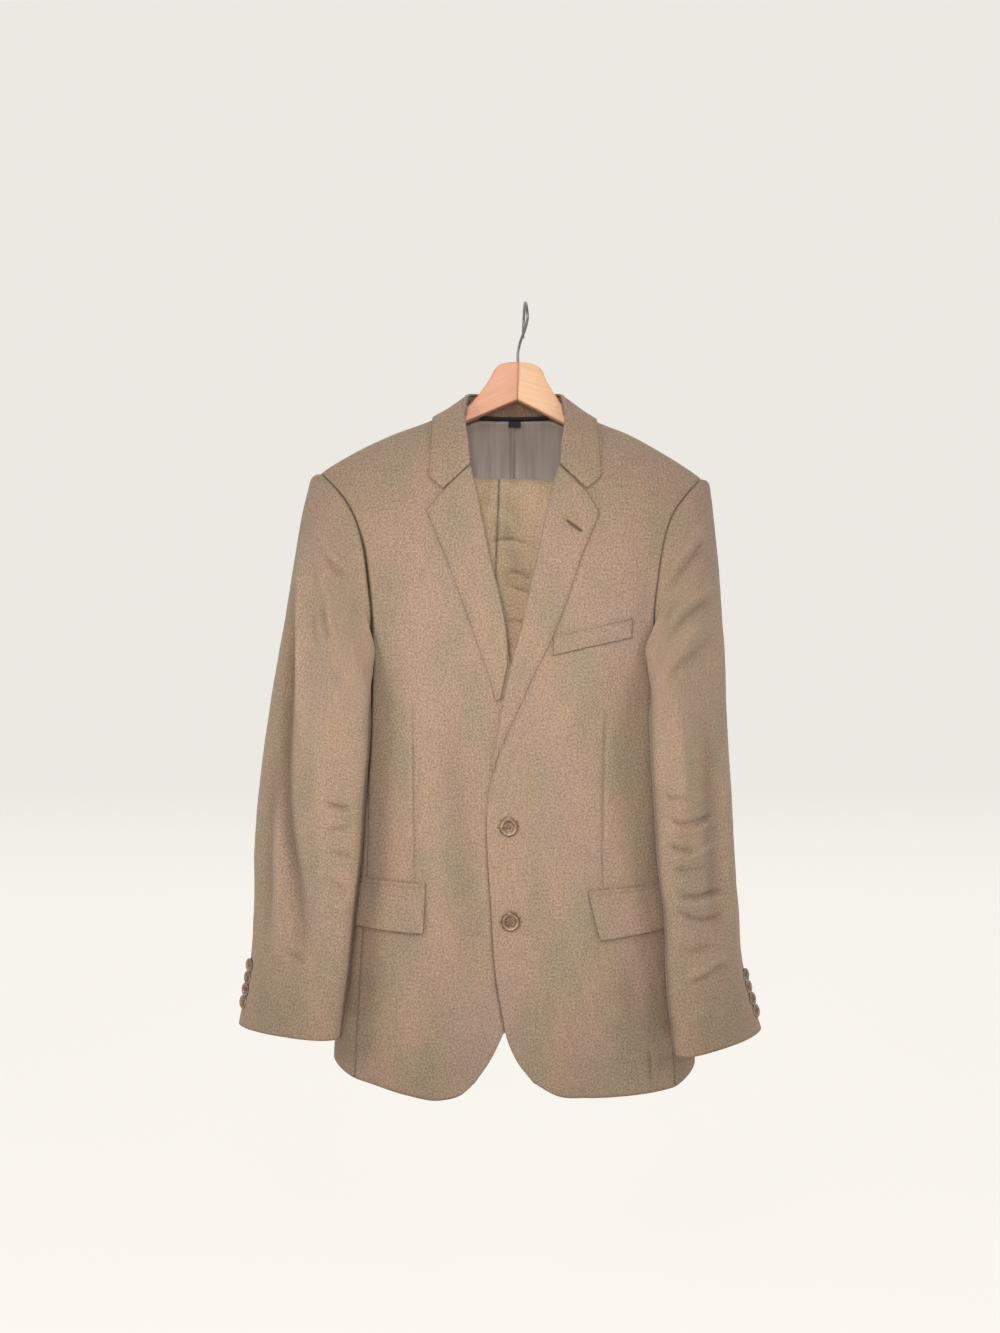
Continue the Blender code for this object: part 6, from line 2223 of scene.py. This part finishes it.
FRONT_CREASES = crease_table(
    (((-150, -330), (-128, -430), (-110, -560), (-104, -700)), 1.3, 22.0),
    (((-96, -430), (-80, -560), (-66, -680), (-60, -800)), -1.2, 18.0),
    (((-44, -520), (-36, -640), (-34, -760)), 0.9, 14.0),
    (((96, -330), (62, -430), (40, -520)), 1.2, 18.0),
    (((124, -400), (112, -520), (118, -640)), -1.0, 16.0),
    (((56, -600), (62, -720), (72, -840)), 1.1, 20.0),
    (((110, -720), (120, -800), (126, -870)), -0.9, 14.0),
    (((-150, -720), (-140, -800), (-134, -880)), 1.0, 16.0),
    (((-168, -330), (-140, -352), (-112, -360)), 0.7, 8.0),
    (((136, -330), (112, -352), (88, -372)), 0.7, 8.0),
    (((-12, -604), (14, -628), (40, -640)), 0.6, 7.0),
    (((-10, -706), (16, -728), (48, -742)), 0.6, 7.0),
    (((138, -836), (140, -860), (141, -884)), -1.2, 2.0),
)
BACK_CREASES = crease_table(
    (((-120, -190), (-108, -300), (-112, -430)), 1.3, 18.0),
    (((-70, -230), (-60, -400), (-66, -560)), -1.1, 20.0),
    (((92, -196), (82, -320), (88, -450)), 1.2, 18.0),
    (((40, -260), (34, -420), (42, -600)), -1.0, 20.0),
    (((-150, -300), (-118, -348), (-86, -380)), 0.9, 8.0),
    (((-156, -352), (-126, -384), (-98, -400)), -0.8, 6.0),
    (((128, -300), (100, -346), (70, -372)), 0.9, 8.0),
    (((132, -360), (106, -390), (80, -404)), -0.8, 6.0),
    (((-96, -590), (-60, -604), (-28, -598)), 0.9, 8.0),
    (((8, -606), (44, -618), (88, -606)), 0.9, 8.0),
    (((-110, -660), (-100, -760), (-104, -840)), 1.3, 20.0),
    (((60, -650), (70, -750), (66, -840)), 1.2, 20.0),
    (((-40, -680), (-36, -770), (-38, -840)), -0.9, 14.0),
)
TROUSER_CREASES = crease_table(
    (((-46, -272), (-13, -269), (16, -281)), -1.3, 2.4),
    (((-42, -277), (-13, -275), (14, -287)), 0.9, 4.5),
    (((-22, -303), (-1, -309), (12, -316)), -1.0, 2.2),
    (((-27, -320), (3, -329), (16, -334)), -1.1, 2.4),
    (((-26, -326), (2, -335)), 0.7, 4.0),
    (((-28, -360), (-3, -363), (6, -366)), -1.0, 2.2),
    (((-50, -232), (-30, -244), (-8, -248)), 0.6, 6.0),
    (((-60, -420), (-30, -430), (10, -424)), -0.8, 4.0),
    (((-70, -520), (-20, -540), (40, -530)), -0.8, 6.0),
)
SLEEVE_FRONT = {
    Side.LEFT: crease_table(
        (((-246, -232), (-248, -330), (-249, -392), (-243, -492), (-236, -560)), 1.8, 8.0),
        (((-248, -232), (-249, -330), (-250, -392), (-245, -492), (-238, -560)), 1.0, 2.2),
        (((-258, -280), (-262, -350), (-264, -425), (-268, -518), (-265, -592), (-253, -648), (-248, -704),
          (-249, -777)), -2.6, 8.0),
        (((-281, -470), (-284, -560), (-286, -650), (-287, -740)), -1.5, 8.0),
        (((-276, -540), (-275, -640), (-270, -760)), 1.3, 8.0),
        (((-233, -420), (-226, -520), (-222, -620), (-226, -760)), 1.4, 10.0),
        (((-231, -262), (-214, -292), (-192, -306)), 1.3, 5.5),
        (((-228, -278), (-212, -304), (-190, -318)), -1.1, 4.0),
        (((-232, -300), (-222, -330), (-206, -352)), 1.0, 4.5),
        (((-220, -336), (-214, -362), (-204, -392)), 1.1, 3.5),
        (((-226, -342), (-222, -366), (-214, -392)), -0.9, 3.0),
        (((-236, -350), (-234, -376), (-226, -398)), -0.8, 3.0),
        (((-212, -400), (-198, -424), (-184, -436)), 0.9, 5.0),
        (((-224, -520), (-208, -512), (-190, -516)), 0.9, 4.0),
        (((-226, -560), (-206, -566), (-184, -568)), -1.3, 2.6),
        (((-228, -566), (-206, -573), (-184, -575)), 1.1, 3.4),
        (((-222, -592), (-204, -590), (-184, -586)), -1.0, 2.4),
        (((-216, -612), (-202, -618), (-184, -621)), -1.0, 2.4),
        (((-214, -619), (-201, -625), (-185, -627)), 0.8, 3.2),
        (((-220, -640), (-206, -652), (-190, -660)), -0.9, 2.6),
        (((-218, -668), (-204, -676), (-190, -678)), 0.9, 3.4),
        (((-266, -728), (-254, -732), (-242, -742)), -1.0, 2.6),
        (((-264, -734), (-252, -739), (-240, -748)), 0.8, 3.4),
        (((-238, -760), (-232, -785), (-228, -808)), 0.9, 6.0),
    ),
    Side.RIGHT: crease_table(
        (((204, -250), (180, -282), (164, -302), (150, -326)), 1.6, 6.0),
        (((203, -266), (186, -292), (166, -314), (152, -338)), -1.4, 4.0),
        (((214, -318), (190, -338), (168, -352), (150, -372)), 1.5, 6.0),
        (((212, -330), (188, -350), (166, -366), (150, -386)), -1.4, 4.2),
        (((206, -360), (182, -378), (160, -400)), 1.0, 5.0),
        (((216, -376), (184, -400), (160, -420), (148, -436)), -1.0, 5.0),
        (((160, -440), (168, -520), (172, -600)), 1.3, 9.0),
        (((196, -430), (202, -520), (206, -620), (210, -740)), -1.3, 10.0),
        (((222, -470), (226, -580), (232, -700), (240, -790)), 1.1, 8.0),
        (((148, -553), (164, -557), (180, -556)), -1.2, 2.4),
        (((148, -559), (164, -564), (182, -563)), 1.0, 3.2),
        (((148, -574), (170, -584), (198, -580), (218, -574)), -1.3, 2.6),
        (((148, -581), (170, -591), (198, -588), (218, -582)), 1.2, 3.6),
        (((148, -604), (168, -612), (194, -616)), -1.2, 2.4),
        (((150, -611), (170, -620), (200, -612), (222, -604)), 1.2, 3.6),
        (((152, -630), (176, -634), (204, -630)), -1.0, 2.6),
        (((156, -660), (186, -664), (212, -662), (232, -666)), -1.4, 2.6),
        (((156, -667), (186, -672), (212, -670), (232, -673)), 1.3, 3.6),
        (((156, -674), (188, -688), (214, -688), (230, -680)), -1.3, 2.6),
        (((158, -696), (184, -706), (206, -704)), 1.0, 4.0),
        (((160, -716), (186, -722), (214, -716)), -0.9, 3.0),
        (((166, -748), (192, -744), (214, -734), (236, -740)), 1.3, 4.6),
        (((168, -756), (194, -752), (216, -743), (236, -749)), -1.0, 3.0),
        (((180, -790), (200, -786), (224, -792)), 0.8, 5.0),
    ),
}
SLEEVE_BACK = {
    Side.LEFT: crease_table(
        (((-262, -300), (-268, -420), (-276, -540)), 1.4, 9.0),
        (((-236, -440), (-244, -560), (-250, -700)), -1.6, 10.0),
        (((-216, -460), (-218, -600), (-226, -760)), 1.3, 9.0),
        (((-288, -560), (-262, -572), (-236, -564)), 1.2, 4.0),
        (((-290, -590), (-264, -604), (-232, -598)), -1.2, 3.0),
        (((-290, -616), (-262, -632), (-230, -622)), 1.1, 4.2),
        (((-286, -660), (-262, -668), (-238, -660)), -0.9, 3.4),
    ),
    Side.RIGHT: crease_table(
        (((214, -300), (214, -420), (218, -540)), 1.4, 9.0),
        (((190, -440), (192, -560), (200, -700)), -1.6, 10.0),
        (((166, -470), (170, -600), (180, -760)), 1.3, 9.0),
        (((222, -566), (198, -576), (174, -568)), 1.2, 4.0),
        (((226, -594), (200, -606), (172, -600)), -1.2, 3.0),
        (((228, -620), (200, -634), (174, -626)), 1.1, 4.2),
        (((230, -664), (206, -672), (180, -664)), -0.9, 3.4),
    ),
}
HOOK_STEM = ((-8, 0, -67.5), (-8, 0, -54), (-6.2, -2.5, -46), (-3.5, -8, -39), (0, -14.5, -31.5), (2.2, -19, -23))


def main() -> None:
    """Build every piece of the suit and the studio."""
    logging.basicConfig(level=logging.INFO, format="%(name)s %(message)s")
    bpy.context.view_layer.update()
    wardrobe = Wardrobe()
    cloth = Cloth(wardrobe)
    form = JacketForm(front_creases=FRONT_CREASES, back_creases=BACK_CREASES)
    body = JacketBody(form, cloth)
    body.build_fronts()
    body.build_sides()
    body.build_backs()
    sleeves = Sleeves(form, cloth, front_creases=SLEEVE_FRONT, back_creases=SLEEVE_BACK)
    sleeves.build()
    lapels = Lapels(form, cloth)
    lapels.build()
    collar = Collar(form, cloth, body)
    collar.build()
    NeckInside(form, cloth).build()
    Pockets(form, cloth).build()
    hanger = HangerWood(wardrobe, hook=HOOK_STEM)
    hanger.build()
    Trousers(cloth, creases=TROUSER_CREASES).build(hanger.tilted)
    Buttons(form, sleeves, wardrobe).build()
    Stitching(form, body, lapels, collar, wardrobe).build()
    Studio().build()


if __name__ == "__main__":
    main()
